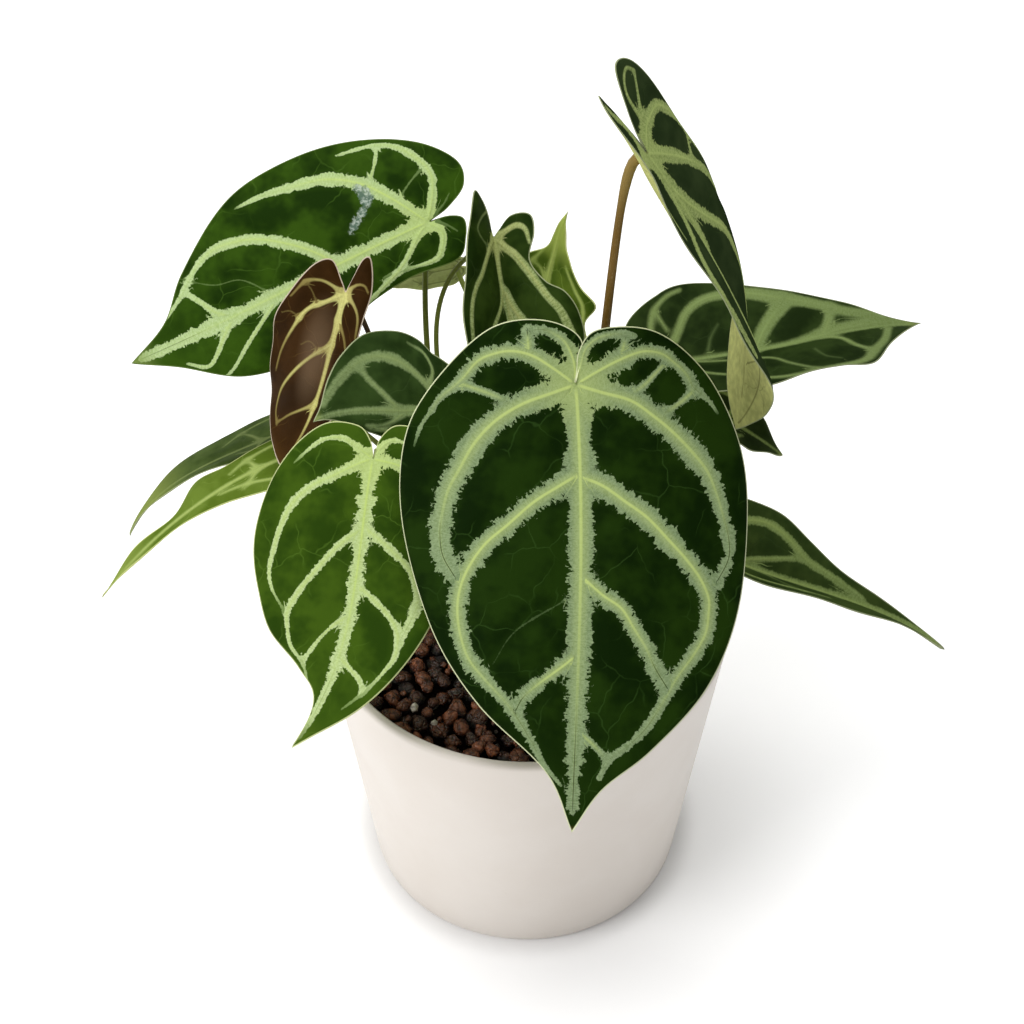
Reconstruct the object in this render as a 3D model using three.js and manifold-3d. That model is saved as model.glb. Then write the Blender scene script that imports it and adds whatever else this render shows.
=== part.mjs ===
// A potted anthurium: heart-shaped leaves on thin petioles, standing in chunky
// brown substrate that fills a plain conical ceramic pot.
//
// Millimetres, +Z up.  The origin is the centre of the pot's flat base and the
// plant faces -Y.
//
// Every blade is one thin sheet.  Its flat outline is given as points
// [across, along] from the junction with the petiole: along the midrib towards
// the tip is positive, and the lobes behind the junction are negative.  The
// left half is the one on the left hand of somebody who looks from the
// junction to the tip.  The flat sheet is then bent: the midrib follows
// a heading, a droop and a roll, and each half is folded and curled about it.

import * as THREE from 'three';
import Module from 'manifold-3d';

const wasm = await Module();
wasm.setup();

// Pot
const POT_HEIGHT = 115;
const POT_RIM_RADIUS = 70;
const POT_BASE_RADIUS = 56;
const POT_WALL = 3.2;
const POT_FLOOR = 5;
const POT_SIDES = 64;

// Substrate
const SUBSTRATE_TOP = 103;
const SUBSTRATE_SIDES = 40;
const FIT_GAP = 0.35;
const NUGGET_SIZE = [4.6, 6.0];
const NUGGET_SPACING = 8.6;
const NUGGET_TRIES = 1500;
const SEED = 7;

// Petioles
const ROOT_DEPTH = 96;
const ROOT_TOP = 113;
const HOLE_HEIGHT = 20;
const PETIOLE_SIDES = 8;
const PETIOLE_RINGS = 11;
const KNEE_SWELL = 1.25;

// Blades
const BLADE_THICKNESS = 1.0;
const SPINE_STEPS = 40;
const LOBE_REACH = 0.35;
const SHOULDER = 4;

const rad = THREE.MathUtils.degToRad;

// Each leaf: where the blade meets the petiole, the length of the midrib, the
// heading (0 is +X, 90 is +Y), droop below the horizontal and roll in degrees
// at the junction, half way and at the tip, fold and curl of the left and
// the right half at the same three places, the petiole's foot, its lean and
// reach, its radius, and the two outlines.
const LEAVES = [
  {
    name: 'front',
    junction: [15, 0, 219],
    length: 141,
    heading: [-84, -92, -93],
    droop: [44, 43, 54],
    roll: [0, 0, 0],
    fold: { left: [4, 4, 4], right: [4, 4, 4] },
    curl: { left: [-25, -30, -15], right: [-25, -30, -15] },
    petiole: { foot: [6, -8], lean: [14, 26, 195], reach: 16, radius: 1.7 },
    left: [[0, -1], [2, -11], [9, -17], [27, -15], [43, -1], [53, 19], [55, 42], [52, 68],
      [41, 94], [24, 114], [9, 127], [0, 141]],
    right: [[0, -1], [2, -13], [6, -22], [23, -19], [42, -7], [54, 9], [59, 30], [56, 54],
      [47, 80], [31, 102], [9, 122], [0, 141]],
  },
  {
    name: 'front_left',
    junction: [-50, 0, 187],
    length: 98,
    heading: [-104, -102, -141],
    droop: [42, 33, 37],
    roll: [4, 4, 4],
    fold: { left: [4, 4, 4], right: [4, 4, 4] },
    curl: { left: [-20, -20, -10], right: [-20, -20, -10] },
    petiole: { foot: [-10, -9], lean: [-36, 10, 165], reach: 14, radius: 1.5 },
    left: [[0, -1], [1, -7], [6, -12], [15, -11], [24, -2], [29, 12], [30, 28],
      [28, 45], [23, 60], [14, 77], [5, 90], [0, 98]],
    right: [[0, -1], [2, -6], [7, -10], [18, -9], [28, 0], [35, 12], [37, 28],
      [34, 45], [26, 62], [12, 73], [3, 81], [0, 98]],
  },
  {
    name: 'back_left',
    junction: [-34, 92, 212],
    length: 113,
    heading: [201, 200, 191],
    droop: [14, 18, 20],
    roll: [-38, -38, -38],
    fold: { left: [4, 4, 4], right: [4, 4, 4] },
    curl: { left: [-20, -20, -10], right: [-20, -20, -10] },
    petiole: { foot: [-10, 15], lean: [-43, 64, 132], reach: 18, radius: 1.3 },
    left: [[0, -1], [1, -8], [4, -12], [10, -10], [16, -4], [15, 13], [17, 30], [22, 44],
      [24, 60], [20, 80], [8, 98], [0, 113]],
    right: [[0, -1], [2, -9], [7, -17], [16, -18], [28, -8], [37, 9], [42, 31],
      [41, 50], [34, 67], [21, 85], [8, 97], [0, 113]],
  },
  {
    name: 'young_brown',
    junction: [-60, 47, 217],
    length: 68,
    heading: [239, 219, 196],
    droop: [58, 68, 45],
    roll: [-10, -10, -10],
    fold: { left: [14, 10, 4], right: [14, 10, 4] },
    curl: { left: [-20, -20, -10], right: [-20, -20, -10] },
    petiole: { foot: [-16, 7], lean: [-48, 50, 170], reach: 14, radius: 1.2 },
    left: [[0, -1], [1, -6], [3, -13], [6, -14], [9, -4], [9, 6], [9, 16],
      [10, 28], [9, 40], [6, 50], [3, 58], [0, 68]],
    right: [[0, -1], [2, -4], [7, -10], [13, -6], [19, 6], [23, 18], [24, 32],
      [23, 46], [20, 57], [13, 64], [6, 67], [0, 68]],
  },
  {
    name: 'small_left',
    junction: [-25, 21, 192],
    length: 46,
    heading: [199, 182, 202],
    droop: [10, -3, 19],
    roll: [-42, -42, -42],
    fold: { left: [4, 4, 4], right: [4, 4, 4] },
    curl: { left: [-20, -20, -10], right: [-20, -20, -10] },
    petiole: { foot: [-3, -2], lean: [-12, 20, 165], reach: 14, radius: 1.2 },
    left: [[0, -1], [1, -5], [4, -7], [8, -3], [10, 5], [11, 12], [10, 19],
      [8, 25], [6, 31], [3, 37], [1, 42], [0, 46]],
    right: [[0, -1], [1, -6], [5, -8], [11, -5], [19, 1], [25, 10], [27, 20],
      [26, 28], [19, 34], [12, 38], [4, 42], [0, 46]],
  },
  {
    name: 'back_folded',
    junction: [-11, 80, 214],
    length: 62,
    heading: [-82, -74, -71],
    droop: [38, 44, 54],
    roll: [0, 0, 0],
    fold: { left: [37, 35, 20], right: [54, 50, 25] },
    curl: { left: [-20, -20, -10], right: [-20, -20, -10] },
    petiole: { foot: [-2, 13], lean: [-62, 104, 184], reach: 16, radius: 1.1 },
    left: [[0, -1], [2, -3], [7, -7], [14, -6], [15, 1], [12, 10], [16, 18],
      [22, 23], [25, 31], [24, 42], [14, 54], [0, 62]],
    right: [[0, -1], [2, -7], [5, -13], [8, -16], [11, -11], [14, 0], [19, 12],
      [23, 26], [23, 38], [19, 48], [10, 56], [0, 62]],
  },
  {
    name: 'back_young',
    junction: [5, 96, 165],
    length: 43,
    heading: [48, 48, 48],
    droop: [-71, -71, -71],
    roll: [0, 0, 0],
    fold: { left: [12, 12, 8], right: [12, 12, 8] },
    curl: { left: [-20, -20, -10], right: [-20, -20, -10] },
    petiole: { foot: [7, 19], lean: [4, 66, 140], reach: 14, radius: 1.1 },
    left: [[0, -1], [2, -6], [7, -9], [13, -6], [16, 1], [16, 8], [14, 16],
      [11, 22], [5, 27], [3, 33], [2, 38], [0, 43]],
    right: [[0, -1], [3, -7], [11, -13], [20, -12], [24, -3], [20, 8], [22, 16],
      [14, 20], [7, 27], [3, 31], [1, 37], [0, 43]],
  },
  {
    name: 'tall',
    junction: [36, 30, 286],
    length: 122,
    heading: [-16, -2, -53],
    droop: [60, 68, 109],
    roll: [11, -3, -84],
    fold: { left: [-4, 20, 3], right: [6, 19, 6] },
    curl: { left: [-10, -33, 35], right: [66, -29, 12] },
    petiole: { foot: [17, 8], lean: [29, 34, 274], reach: 10, radius: 1.8 },
    left: [[0, -1], [2, -15], [9, -27], [19, -21], [26, 2], [30, 28], [31, 50],
      [31, 70], [32, 88], [29, 104], [18, 115], [0, 122]],
    right: [[0, -1], [2, -12], [5, -22], [11, -28], [19, -12], [19, 18], [20, 42], [23, 63],
      [20, 84], [12, 102], [5, 113], [0, 122]],
  },
  {
    name: 'right_back',
    junction: [48, 75, 163],
    length: 100,
    heading: [2, 18, 21],
    droop: [-2, 0, 17],
    roll: [0, 0, 0],
    fold: { left: [20, 20, 12], right: [20, 20, 12] },
    curl: { left: [-10, -10, -5], right: [-10, -10, -5] },
    petiole: { foot: [20, 14], lean: [42, 62, 140], reach: 12, radius: 1.3 },
    left: [[0, -1], [2, -5], [6, -10], [16, -12], [26, -4], [32, 8], [32, 24], [25, 44],
      [20, 58], [12, 73], [4, 86], [0, 100]],
    right: [[0, -1], [2, -5], [8, -10], [17, -9], [23, 0], [27, 14], [28, 28], [24, 43],
      [25, 55], [26, 66], [13, 80], [0, 100]],
  },
  {
    name: 'right_small',
    junction: [60, 64, 154],
    length: 39,
    heading: [-7, -7, -7],
    droop: [30, 34, 40],
    roll: [10, 10, 10],
    fold: { left: [12, 12, 6], right: [12, 12, 6] },
    curl: { left: [-10, -10, -5], right: [-10, -10, -5] },
    petiole: { foot: [23, 5], lean: [50, 60, 142], reach: 12, radius: 1.0 },
    left: [[0, -1], [1, -5], [4, -7], [8, -5], [11, 0], [12, 7], [12, 14],
      [11, 21], [9, 26], [5, 32], [2, 36], [0, 39]],
    right: [[0, -1], [1, -5], [4, -7], [7, -5], [9, 0], [9, 7], [9, 14],
      [8, 21], [7, 26], [4, 32], [2, 36], [0, 39]],
  },
  {
    name: 'right_low',
    junction: [60, 18, 129],
    length: 96,
    heading: [-17, -8, -16],
    droop: [24, 17, 38],
    roll: [0, 0, 0],
    fold: { left: [36, 34, 20], right: [36, 34, 20] },
    curl: { left: [-10, -10, -5], right: [-10, -10, -5] },
    petiole: { foot: [16, -3], lean: [28, 4, 140], reach: 12, radius: 1.3 },
    left: [[0, -1], [3, -6], [8, -9], [16, -6], [21, 3], [23, 12], [22, 25],
      [16, 38], [9, 52], [5, 66], [2, 82], [0, 96]],
    right: [[0, -1], [3, -6], [7, -8], [10, -4], [12, 4], [13, 14], [13, 28],
      [12, 40], [9, 55], [6, 68], [3, 80], [0, 96]],
  },
  {
    name: 'left_upper',
    junction: [-71, 80, 138],
    length: 92,
    heading: [205, 194, 206],
    droop: [25, 21, 65],
    roll: [22, 22, 15],
    fold: { left: [6, 6, 4], right: [6, 6, 4] },
    curl: { left: [-10, -10, -5], right: [-10, -10, -5] },
    petiole: { foot: [-17, 15], lean: [-44, 62, 140], reach: 10, radius: 1.2 },
    left: [[0, -1], [2, -6], [7, -8], [12, -4], [15, 4], [16, 14], [14, 26],
      [11, 37], [8, 48], [4, 60], [2, 72], [0, 88]],
    right: [[0, -1], [2, -6], [8, -9], [14, -5], [18, 4], [20, 15], [21, 30],
      [20, 43], [14, 57], [10, 68], [5, 80], [0, 88]],
  },
  {
    name: 'left_lower',
    junction: [-64, 46, 152],
    length: 103,
    heading: [188, 207, 205],
    droop: [7, 22, 49],
    roll: [8, 8, 8],
    fold: { left: [6, 6, 4], right: [6, 6, 4] },
    curl: { left: [-10, -10, -5], right: [-10, -10, -5] },
    petiole: { foot: [-18, -2], lean: [-44, 32, 145], reach: 8, radius: 1.2 },
    left: [[0, -1], [2, -6], [7, -9], [13, -5], [17, 4], [18, 16], [14, 32], [8, 46],
      [5, 60], [3, 74], [1, 88], [0, 103]],
    right: [[0, -1], [2, -6], [7, -9], [12, -5], [15, 4], [15, 14], [12, 27], [9, 40],
      [11, 52], [3, 65], [4, 84], [0, 103]],
  },
  {
    name: 'back_small',
    junction: [-25, 108, 180],
    length: 30,
    heading: [190, 190, 190],
    droop: [8, 8, 8],
    roll: [72, 72, 72],
    fold: { left: [4, 4, 4], right: [4, 4, 4] },
    curl: { left: [-20, -20, -10], right: [-20, -20, -10] },
    petiole: { foot: [1, 22], lean: [-4, 84, 150], reach: 10, radius: 1.0 },
    left: [[0, -1], [1, -2], [3, -4], [6, -3], [9, 1], [10, 6], [9, 12],
      [8, 17], [6, 21], [3, 25], [1, 28], [0, 30]],
    right: [[0, -1], [1, -2], [3, -4], [6, -3], [9, 1], [10, 6], [9, 12],
      [8, 17], [6, 21], [3, 25], [1, 28], [0, 30]],
  },
];

// A value given at the junction, half way and at the tip, in between.
function along3([start, middle, end], t) {
  const u = Math.min(Math.max(t, 0), 1);
  return start * (1 - u) * (1 - 2 * u) + middle * 4 * u * (1 - u) + end * u * (2 * u - 1);
}

// Midrib frame at the fraction t of the length: its direction, the direction
// to the left half and the normal of the upper face.
function midribFrame(leaf, t) {
  const heading = rad(along3(leaf.heading, t));
  const droop = rad(along3(leaf.droop, t));
  const roll = rad(along3(leaf.roll, t));
  const forward = new THREE.Vector3(
    Math.cos(heading) * Math.cos(droop),
    Math.sin(heading) * Math.cos(droop),
    -Math.sin(droop),
  );
  const level = new THREE.Vector3(-Math.sin(heading), Math.cos(heading), 0);
  const upright = new THREE.Vector3().crossVectors(forward, level);
  const left = level.clone().multiplyScalar(Math.cos(roll)).addScaledVector(upright, Math.sin(roll));
  const normal = upright.clone().multiplyScalar(Math.cos(roll)).addScaledVector(level, -Math.sin(roll));
  return { forward, left, normal };
}

// Points of the midrib, from behind the junction to the tip.
function midribPoints(leaf) {
  const step = 1 / SPINE_STEPS;
  const behind = Math.round(LOBE_REACH * SPINE_STEPS);
  const points = new Map([[0, new THREE.Vector3(...leaf.junction)]]);
  for (let i = 1; i <= SPINE_STEPS; i += 1) {
    const { forward } = midribFrame(leaf, (i - 0.5) * step);
    points.set(i, points.get(i - 1).clone().addScaledVector(forward, step * leaf.length));
  }
  for (let i = -1; i >= -behind; i -= 1) {
    const { forward } = midribFrame(leaf, 0);
    points.set(i, points.get(i + 1).clone().addScaledVector(forward, -step * leaf.length));
  }
  return points;
}

// The bent surface: a flat place [across, along] of one half in space.
function makeSurface(leaf) {
  const midrib = midribPoints(leaf);
  const behind = -Math.round(LOBE_REACH * SPINE_STEPS);
  return (half, across, along) => {
    const t = along / leaf.length;
    const place = Math.min(Math.max(t * SPINE_STEPS, behind), SPINE_STEPS - 1e-6);
    const i = Math.floor(place);
    const point = midrib.get(i).clone().lerp(midrib.get(i + 1), place - i);
    const { left, normal } = midribFrame(leaf, t);
    const width = Math.max(...leaf[half].map(([x]) => x));
    const fold = rad(along3(leaf.fold[half], t));
    const curl = rad(along3(leaf.curl[half], t)) / width;
    const bend = Math.abs(curl) < 1e-5 ? 1e-5 : curl;
    const aside = (Math.sin(fold + bend * across) - Math.sin(fold)) / bend;
    const raised = (Math.cos(fold) - Math.cos(fold + bend * across)) / bend;
    const sign = half === 'left' ? 1 : -1;
    return point.addScaledVector(left, sign * aside).addScaledVector(normal, raised);
  };
}

// Outline point at u, 0 at the notch between the lobes and 1 at the tip.
function outlineAt(points, u) {
  const last = points.length - 1;
  const place = Math.min(u * last, last - 1e-9);
  const i = Math.floor(place);
  const f = place - i;
  const mirror = (a, b) => [2 * a[0] - b[0], 2 * a[1] - b[1]];
  const p1 = points[i];
  const p2 = points[i + 1];
  const p0 = i > 0 ? points[i - 1] : mirror(p1, p2);
  const p3 = i + 2 <= last ? points[i + 2] : mirror(p2, p1);
  return [0, 1].map((k) => 0.5 * (2 * p1[k] + (p2[k] - p0[k]) * f
    + (2 * p0[k] - 5 * p1[k] + 4 * p2[k] - p3[k]) * f * f
    + (3 * p1[k] - p0[k] - 3 * p2[k] + p3[k]) * f * f * f));
}

// A blade as a thin closed sheet, split alike on its upper and lower face.
function buildBlade(leaf, around, outward) {
  const surface = makeSurface(leaf);
  const shoulder = SHOULDER / (leaf.left.length - 1);
  const places = [];
  const index = new Map();
  const vertex = (half, k, j) => {
    const u = k / around;
    const spine = leaf.length * Math.max(0, (u - shoulder) / (1 - shoulder)) ** 1.25;
    const onSpine = j === 0 || k === around;
    const shared = onSpine || k === 0;
    const key = `${shared ? 'both' : half} ${onSpine ? Math.round(spine * 1000) : `${k} ${j}`}`;
    if (!index.has(key)) {
      const edge = outlineAt(leaf[half], u);
      const f = onSpine ? 0 : j / outward;
      index.set(key, places.length);
      places.push(surface(half, edge[0] * f, spine + (edge[1] - spine) * f));
    }
    return index.get(key);
  };
  const faces = [];
  const margin = [];
  for (const half of ['left', 'right']) {
    const turn = (list) => (half === 'left' ? list : [...list].reverse());
    for (let k = 0; k < around; k += 1) {
      for (let j = 0; j < outward; j += 1) {
        const a = vertex(half, k, j);
        const b = vertex(half, k, j + 1);
        const c = vertex(half, k + 1, j + 1);
        const d = vertex(half, k + 1, j);
        for (const face of [[a, d, c], [a, c, b]]) {
          if (new Set(face).size === 3) {
            faces.push(turn(face));
          }
        }
      }
      margin.push(turn([vertex(half, k, outward), vertex(half, k + 1, outward)]));
    }
  }
  const normals = places.map(() => new THREE.Vector3());
  for (const [a, b, c] of faces) {
    const across = places[c].clone().sub(places[a]);
    const normal = places[b].clone().sub(places[a]).cross(across);
    for (const i of [a, b, c]) {
      normals[i].add(normal);
    }
  }
  normals.forEach((normal) => normal.normalize());
  const half = BLADE_THICKNESS / 2;
  const upper = places.map((place, i) => place.clone().addScaledVector(normals[i], half));
  const lower = places.map((place, i) => place.clone().addScaledVector(normals[i], -half));
  const count = places.length;
  const triangles = [];
  for (const [a, b, c] of faces) {
    triangles.push(a, b, c, a + count, c + count, b + count);
  }
  for (const [a, b] of margin) {
    triangles.push(a, b, b + count, a, b + count, a + count);
  }
  return makeGeometry([...upper, ...lower], triangles);
}

function makeGeometry(points, triangles) {
  const geometry = new THREE.BufferGeometry();
  geometry.setAttribute('position', new THREE.Float32BufferAttribute(points.flatMap((p) => [p.x, p.y, p.z]), 3));
  geometry.setIndex(triangles);
  const p = points;
  let volume = 0;
  for (let i = 0; i < triangles.length; i += 3) {
    const [a, b, c] = [p[triangles[i]], p[triangles[i + 1]], p[triangles[i + 2]]];
    volume += a.dot(new THREE.Vector3().crossVectors(b, c));
  }
  if (volume < 0) {
    geometry.setIndex([...triangles].reverse());
  }
  return geometry;
}

// The straight root of a petiole in the substrate, and the arch above it.
function petioleCourse(leaf) {
  const { foot, lean, reach } = leaf.petiole;
  const root = new THREE.Vector3(foot[0], foot[1], ROOT_DEPTH);
  const start = new THREE.Vector3(foot[0], foot[1], ROOT_TOP);
  const aim = new THREE.Vector3(...lean);
  const { normal } = midribFrame(leaf, 0);
  const junction = new THREE.Vector3(...leaf.junction);
  const end = junction.clone().addScaledVector(normal, -(BLADE_THICKNESS / 2 + FIT_GAP));
  const under = junction.clone().addScaledVector(normal, -reach);
  const arch = new THREE.CubicBezierCurve3(start, aim, under, end);
  return { root, start, arch };
}

function buildPetiole(leaf) {
  const { root, arch } = petioleCourse(leaf);
  const { radius } = leaf.petiole;
  const centres = [root];
  for (let i = 0; i < PETIOLE_RINGS; i += 1) {
    centres.push(arch.getPointAt(i / (PETIOLE_RINGS - 1)));
  }
  const points = [];
  const triangles = [];
  let side = new THREE.Vector3(1, 0, 0);
  centres.forEach((centre, i) => {
    const before = centres[Math.max(i - 1, 0)];
    const after = centres[Math.min(i + 1, centres.length - 1)];
    const tangent = i === centres.length - 1
      ? arch.getTangentAt(1)
      : after.clone().sub(before).normalize();
    side = side.clone().addScaledVector(tangent, -side.dot(tangent)).normalize();
    const other = new THREE.Vector3().crossVectors(tangent, side);
    const t = i / (centres.length - 1);
    const swell = t > 0.9 ? KNEE_SWELL : 1;
    const r = radius * (1 - 0.25 * t) * swell;
    for (let k = 0; k < PETIOLE_SIDES; k += 1) {
      const angle = (2 * Math.PI * k) / PETIOLE_SIDES;
      points.push(centre.clone()
        .addScaledVector(side, r * Math.cos(angle))
        .addScaledVector(other, r * Math.sin(angle)));
    }
  });
  const n = PETIOLE_SIDES;
  for (let i = 0; i < centres.length - 1; i += 1) {
    for (let k = 0; k < n; k += 1) {
      const a = i * n + k;
      const b = i * n + ((k + 1) % n);
      triangles.push(a, b, b + n, a, b + n, a + n);
    }
  }
  const top = (centres.length - 1) * n;
  for (let k = 1; k < n - 1; k += 1) {
    triangles.push(0, k + 1, k, top, top + k, top + k + 1);
  }
  return makeGeometry(points, triangles);
}

// Radii of the pot's wall at a height.
function outerRadius(z) {
  return POT_BASE_RADIUS + ((POT_RIM_RADIUS - POT_BASE_RADIUS) * z) / POT_HEIGHT;
}

function innerRadius(z) {
  return outerRadius(z) - POT_WALL;
}

function turned(profile, sides) {
  const geometry = new THREE.LatheGeometry(profile.map(([r, z]) => new THREE.Vector2(r, z)), sides);
  geometry.rotateX(Math.PI / 2);
  return geometry;
}

function buildPot() {
  const rim = POT_HEIGHT;
  return fromSolid(toSolid(turned([
    [0, 0],
    [POT_BASE_RADIUS - 3, 0],
    [POT_BASE_RADIUS - 0.7, 0.9],
    [outerRadius(3.5), 3.5],
    [outerRadius(rim - 2), rim - 2],
    [outerRadius(rim) - 0.6, rim - 0.5],
    [outerRadius(rim) - 1.6, rim],
    [innerRadius(rim) + 0.7, rim - 0.4],
    [innerRadius(rim), rim - 1.6],
    [innerRadius(POT_FLOOR + 6), POT_FLOOR + 6],
    [innerRadius(POT_FLOOR) - 5, POT_FLOOR],
    [0, POT_FLOOR],
  ], POT_SIDES)));
}

function toSolid(geometry) {
  const merged = new Map();
  const vertices = [];
  const source = geometry.attributes.position;
  const indexOf = (i) => {
    const xyz = [source.getX(i), source.getY(i), source.getZ(i)];
    const key = xyz.map((value) => Math.round(value * 1000)).join(' ');
    if (!merged.has(key)) {
      merged.set(key, vertices.length / 3);
      vertices.push(...xyz);
    }
    return merged.get(key);
  };
  const order = geometry.index ? [...geometry.index.array] : [...Array(source.count).keys()];
  const corners = order.map(indexOf);
  const triangles = [];
  for (let i = 0; i < corners.length; i += 3) {
    const face = corners.slice(i, i + 3);
    if (new Set(face).size === 3) {
      triangles.push(...face);
    }
  }
  return new wasm.Manifold(new wasm.Mesh({
    numProp: 3,
    vertProperties: Float32Array.from(vertices),
    triVerts: Uint32Array.from(triangles),
  }));
}

function fromSolid(solid) {
  const mesh = solid.getMesh();
  const geometry = new THREE.BufferGeometry();
  geometry.setAttribute('position', new THREE.Float32BufferAttribute(mesh.vertProperties, 3));
  geometry.setIndex([...mesh.triVerts]);
  return geometry;
}

function makeRandom(seed) {
  let state = seed;
  return () => {
    state = (state * 1664525 + 1013904223) % 4294967296;
    return state / 4294967296;
  };
}

// One nugget: a many-faced lump of uneven size, its lower part sunk into the bed.
function buildNugget(random, x, y, size) {
  const lump = new THREE.IcosahedronGeometry(size, 0);
  lump.rotateX(random() * Math.PI);
  lump.rotateZ(random() * Math.PI);
  lump.scale(0.85 + 0.35 * random(), 0.85 + 0.35 * random(), 0.75 + 0.2 * random());
  lump.translate(x, y, SUBSTRATE_TOP + 0.3 + 1.6 * random());
  return toSolid(lump);
}

function buildSubstrate() {
  const floor = POT_FLOOR + FIT_GAP;
  const bed = turned([
    [0, floor],
    [innerRadius(floor) - 5 - FIT_GAP, floor],
    [innerRadius(POT_FLOOR + 6) - FIT_GAP, POT_FLOOR + 6],
    [innerRadius(SUBSTRATE_TOP) - FIT_GAP, SUBSTRATE_TOP],
    [0, SUBSTRATE_TOP],
  ], SUBSTRATE_SIDES);
  let solid = toSolid(bed);
  const random = makeRandom(SEED);
  const spots = [];
  for (let i = 0; i < NUGGET_TRIES; i += 1) {
    const size = NUGGET_SIZE[0] + (NUGGET_SIZE[1] - NUGGET_SIZE[0]) * random();
    const reach = innerRadius(SUBSTRATE_TOP) - 1.2 * size - 0.5;
    const distance = reach * Math.sqrt(random());
    const angle = 2 * Math.PI * random();
    const x = distance * Math.cos(angle);
    const y = distance * Math.sin(angle);
    const apart = spots.every((spot) => Math.hypot(spot.x - x, spot.y - y) > NUGGET_SPACING);
    const clear = LEAVES.every(({ petiole: { foot, radius } }) => (
      Math.hypot(foot[0] - x, foot[1] - y) > 1.2 * size + radius + 2
    ));
    if (apart && clear) {
      spots.push({ x, y, size });
    }
  }
  for (const { x, y, size } of spots) {
    solid = solid.add(buildNugget(random, x, y, size));
  }
  for (const { petiole: { foot, radius } } of LEAVES) {
    const hole = new THREE.CylinderGeometry(radius + FIT_GAP, radius + FIT_GAP, HOLE_HEIGHT, 12);
    hole.rotateX(Math.PI / 2);
    hole.translate(foot[0], foot[1], ROOT_DEPTH - FIT_GAP + HOLE_HEIGHT / 2);
    solid = solid.subtract(toSolid(hole));
  }
  return fromSolid(solid);
}

const ceramic = new THREE.MeshStandardMaterial({ color: 0xe9e4dc, roughness: 0.45, metalness: 0 });
const chips = new THREE.MeshStandardMaterial({ color: 0x4f2c1c, roughness: 0.95, metalness: 0 });
const stalk = new THREE.MeshStandardMaterial({ color: 0x6f7434, roughness: 0.55, metalness: 0 });
const green = new THREE.MeshStandardMaterial({ color: 0x1f4a16, roughness: 0.5, metalness: 0 });
const brown = new THREE.MeshStandardMaterial({ color: 0x5a2c12, roughness: 0.5, metalness: 0 });
const pale = new THREE.MeshStandardMaterial({ color: 0x77a044, roughness: 0.5, metalness: 0 });

const BLADE_COLOUR = { young_brown: brown, back_young: pale, left_lower: pale, back_small: pale };
const LARGE = ['front', 'back_left', 'tall'];

const plant = new THREE.Group();
plant.name = 'potted_anthurium';

function addPiece(name, geometry, material) {
  const mesh = new THREE.Mesh(geometry, material.clone());
  mesh.name = name;
  plant.add(mesh);
}

addPiece('pot', buildPot(), ceramic);
addPiece('substrate', buildSubstrate(), chips);
for (const leaf of LEAVES) {
  const fine = LARGE.includes(leaf.name);
  addPiece(`blade_${leaf.name}`, buildBlade(leaf, fine ? 22 : 16, fine ? 4 : 3), BLADE_COLOUR[leaf.name] ?? green);
  addPiece(`petiole_${leaf.name}`, buildPetiole(leaf), stalk);
}

export default plant;
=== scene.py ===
# Potted anthurium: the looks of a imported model, in metres, +Z up, -Y to the front.
#
# Leaves are laid out in millimetres and converted at the end.  Every blade is
# drawn flat, as places [across, along] from its junction with the petiole, and
# then bent: the midrib follows a heading, a droop and a roll, and each half is
# folded and curled about it.  The left half is the one on the left hand of
# somebody who looks from the junction to the tip, and its places are positive.

import math

import bmesh
import bpy
import numpy as np
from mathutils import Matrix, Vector, noise


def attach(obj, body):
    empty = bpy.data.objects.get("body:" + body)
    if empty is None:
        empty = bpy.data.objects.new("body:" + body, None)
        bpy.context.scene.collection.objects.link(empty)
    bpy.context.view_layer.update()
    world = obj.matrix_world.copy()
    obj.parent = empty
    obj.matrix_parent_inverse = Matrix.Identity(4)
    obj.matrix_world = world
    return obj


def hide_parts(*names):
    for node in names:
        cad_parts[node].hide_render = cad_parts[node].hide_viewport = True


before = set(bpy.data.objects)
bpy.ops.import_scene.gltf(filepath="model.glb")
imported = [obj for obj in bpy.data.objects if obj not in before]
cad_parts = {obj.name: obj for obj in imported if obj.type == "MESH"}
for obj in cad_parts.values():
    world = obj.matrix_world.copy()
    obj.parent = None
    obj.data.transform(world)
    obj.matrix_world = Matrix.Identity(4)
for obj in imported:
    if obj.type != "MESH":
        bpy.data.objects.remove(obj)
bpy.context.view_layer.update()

MM = 0.001

# Camera, where it stood for the photograph, and the floor in metres
IMAGE_SIDE = 1024
FOCAL_PIXELS = 2400
SENSOR = 36
CAMERA_PLACE = (-0.005, -0.565, 0.720)
CAMERA_DOWN = 44.6
FLOOR_HALF = 6.0
# Middle of the painted shadow: the floor's glow is dimmed about this point, right of and in front of the pot.
PAINTED_SHADOW_MIDDLE = (0.026, -0.030, 0.0)

# Pot and substrate, as built
POT_HEIGHT = 115
POT_RIM_RADIUS = 70
POT_BASE_RADIUS = 56
POT_WALL = 3.2
POT_FLOOR = 5
FOOT_ROUND = 2.6
LIP_ROUND = 2.4
LIP_INNER_ROUND = 0.6
WELL_ROUND = 5.0
POT_SIDES = 160
BED_SIDES = 96
SUBSTRATE_TOP = 103
FIT_GAP = 0.35
NUGGET_SIZE = (2.5, 4.6)
CHIP_SIZE = (0.9, 1.9)
NUGGET_PLANES = 11
NUGGET_TRIES = 4500
CHIP_TRIES = 900
PALE_GRAINS = [(-38, -37, 2.1), (-31, -44, 1.8), (-52, -20, 1.5), (30, -30, 1.8), (22, 44, 1.6)]
SEED = 7

# Petioles and blades, as built
ROOT_DEPTH = 96
ROOT_TOP = 113
SPINE_STEPS = 40
LOBE_REACH = 0.35
SHOULDER = 4
KNEE_GAP = 0.35
COMMON_FOLD = 4
COMMON_CURL = (-20, -20, -10)

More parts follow.
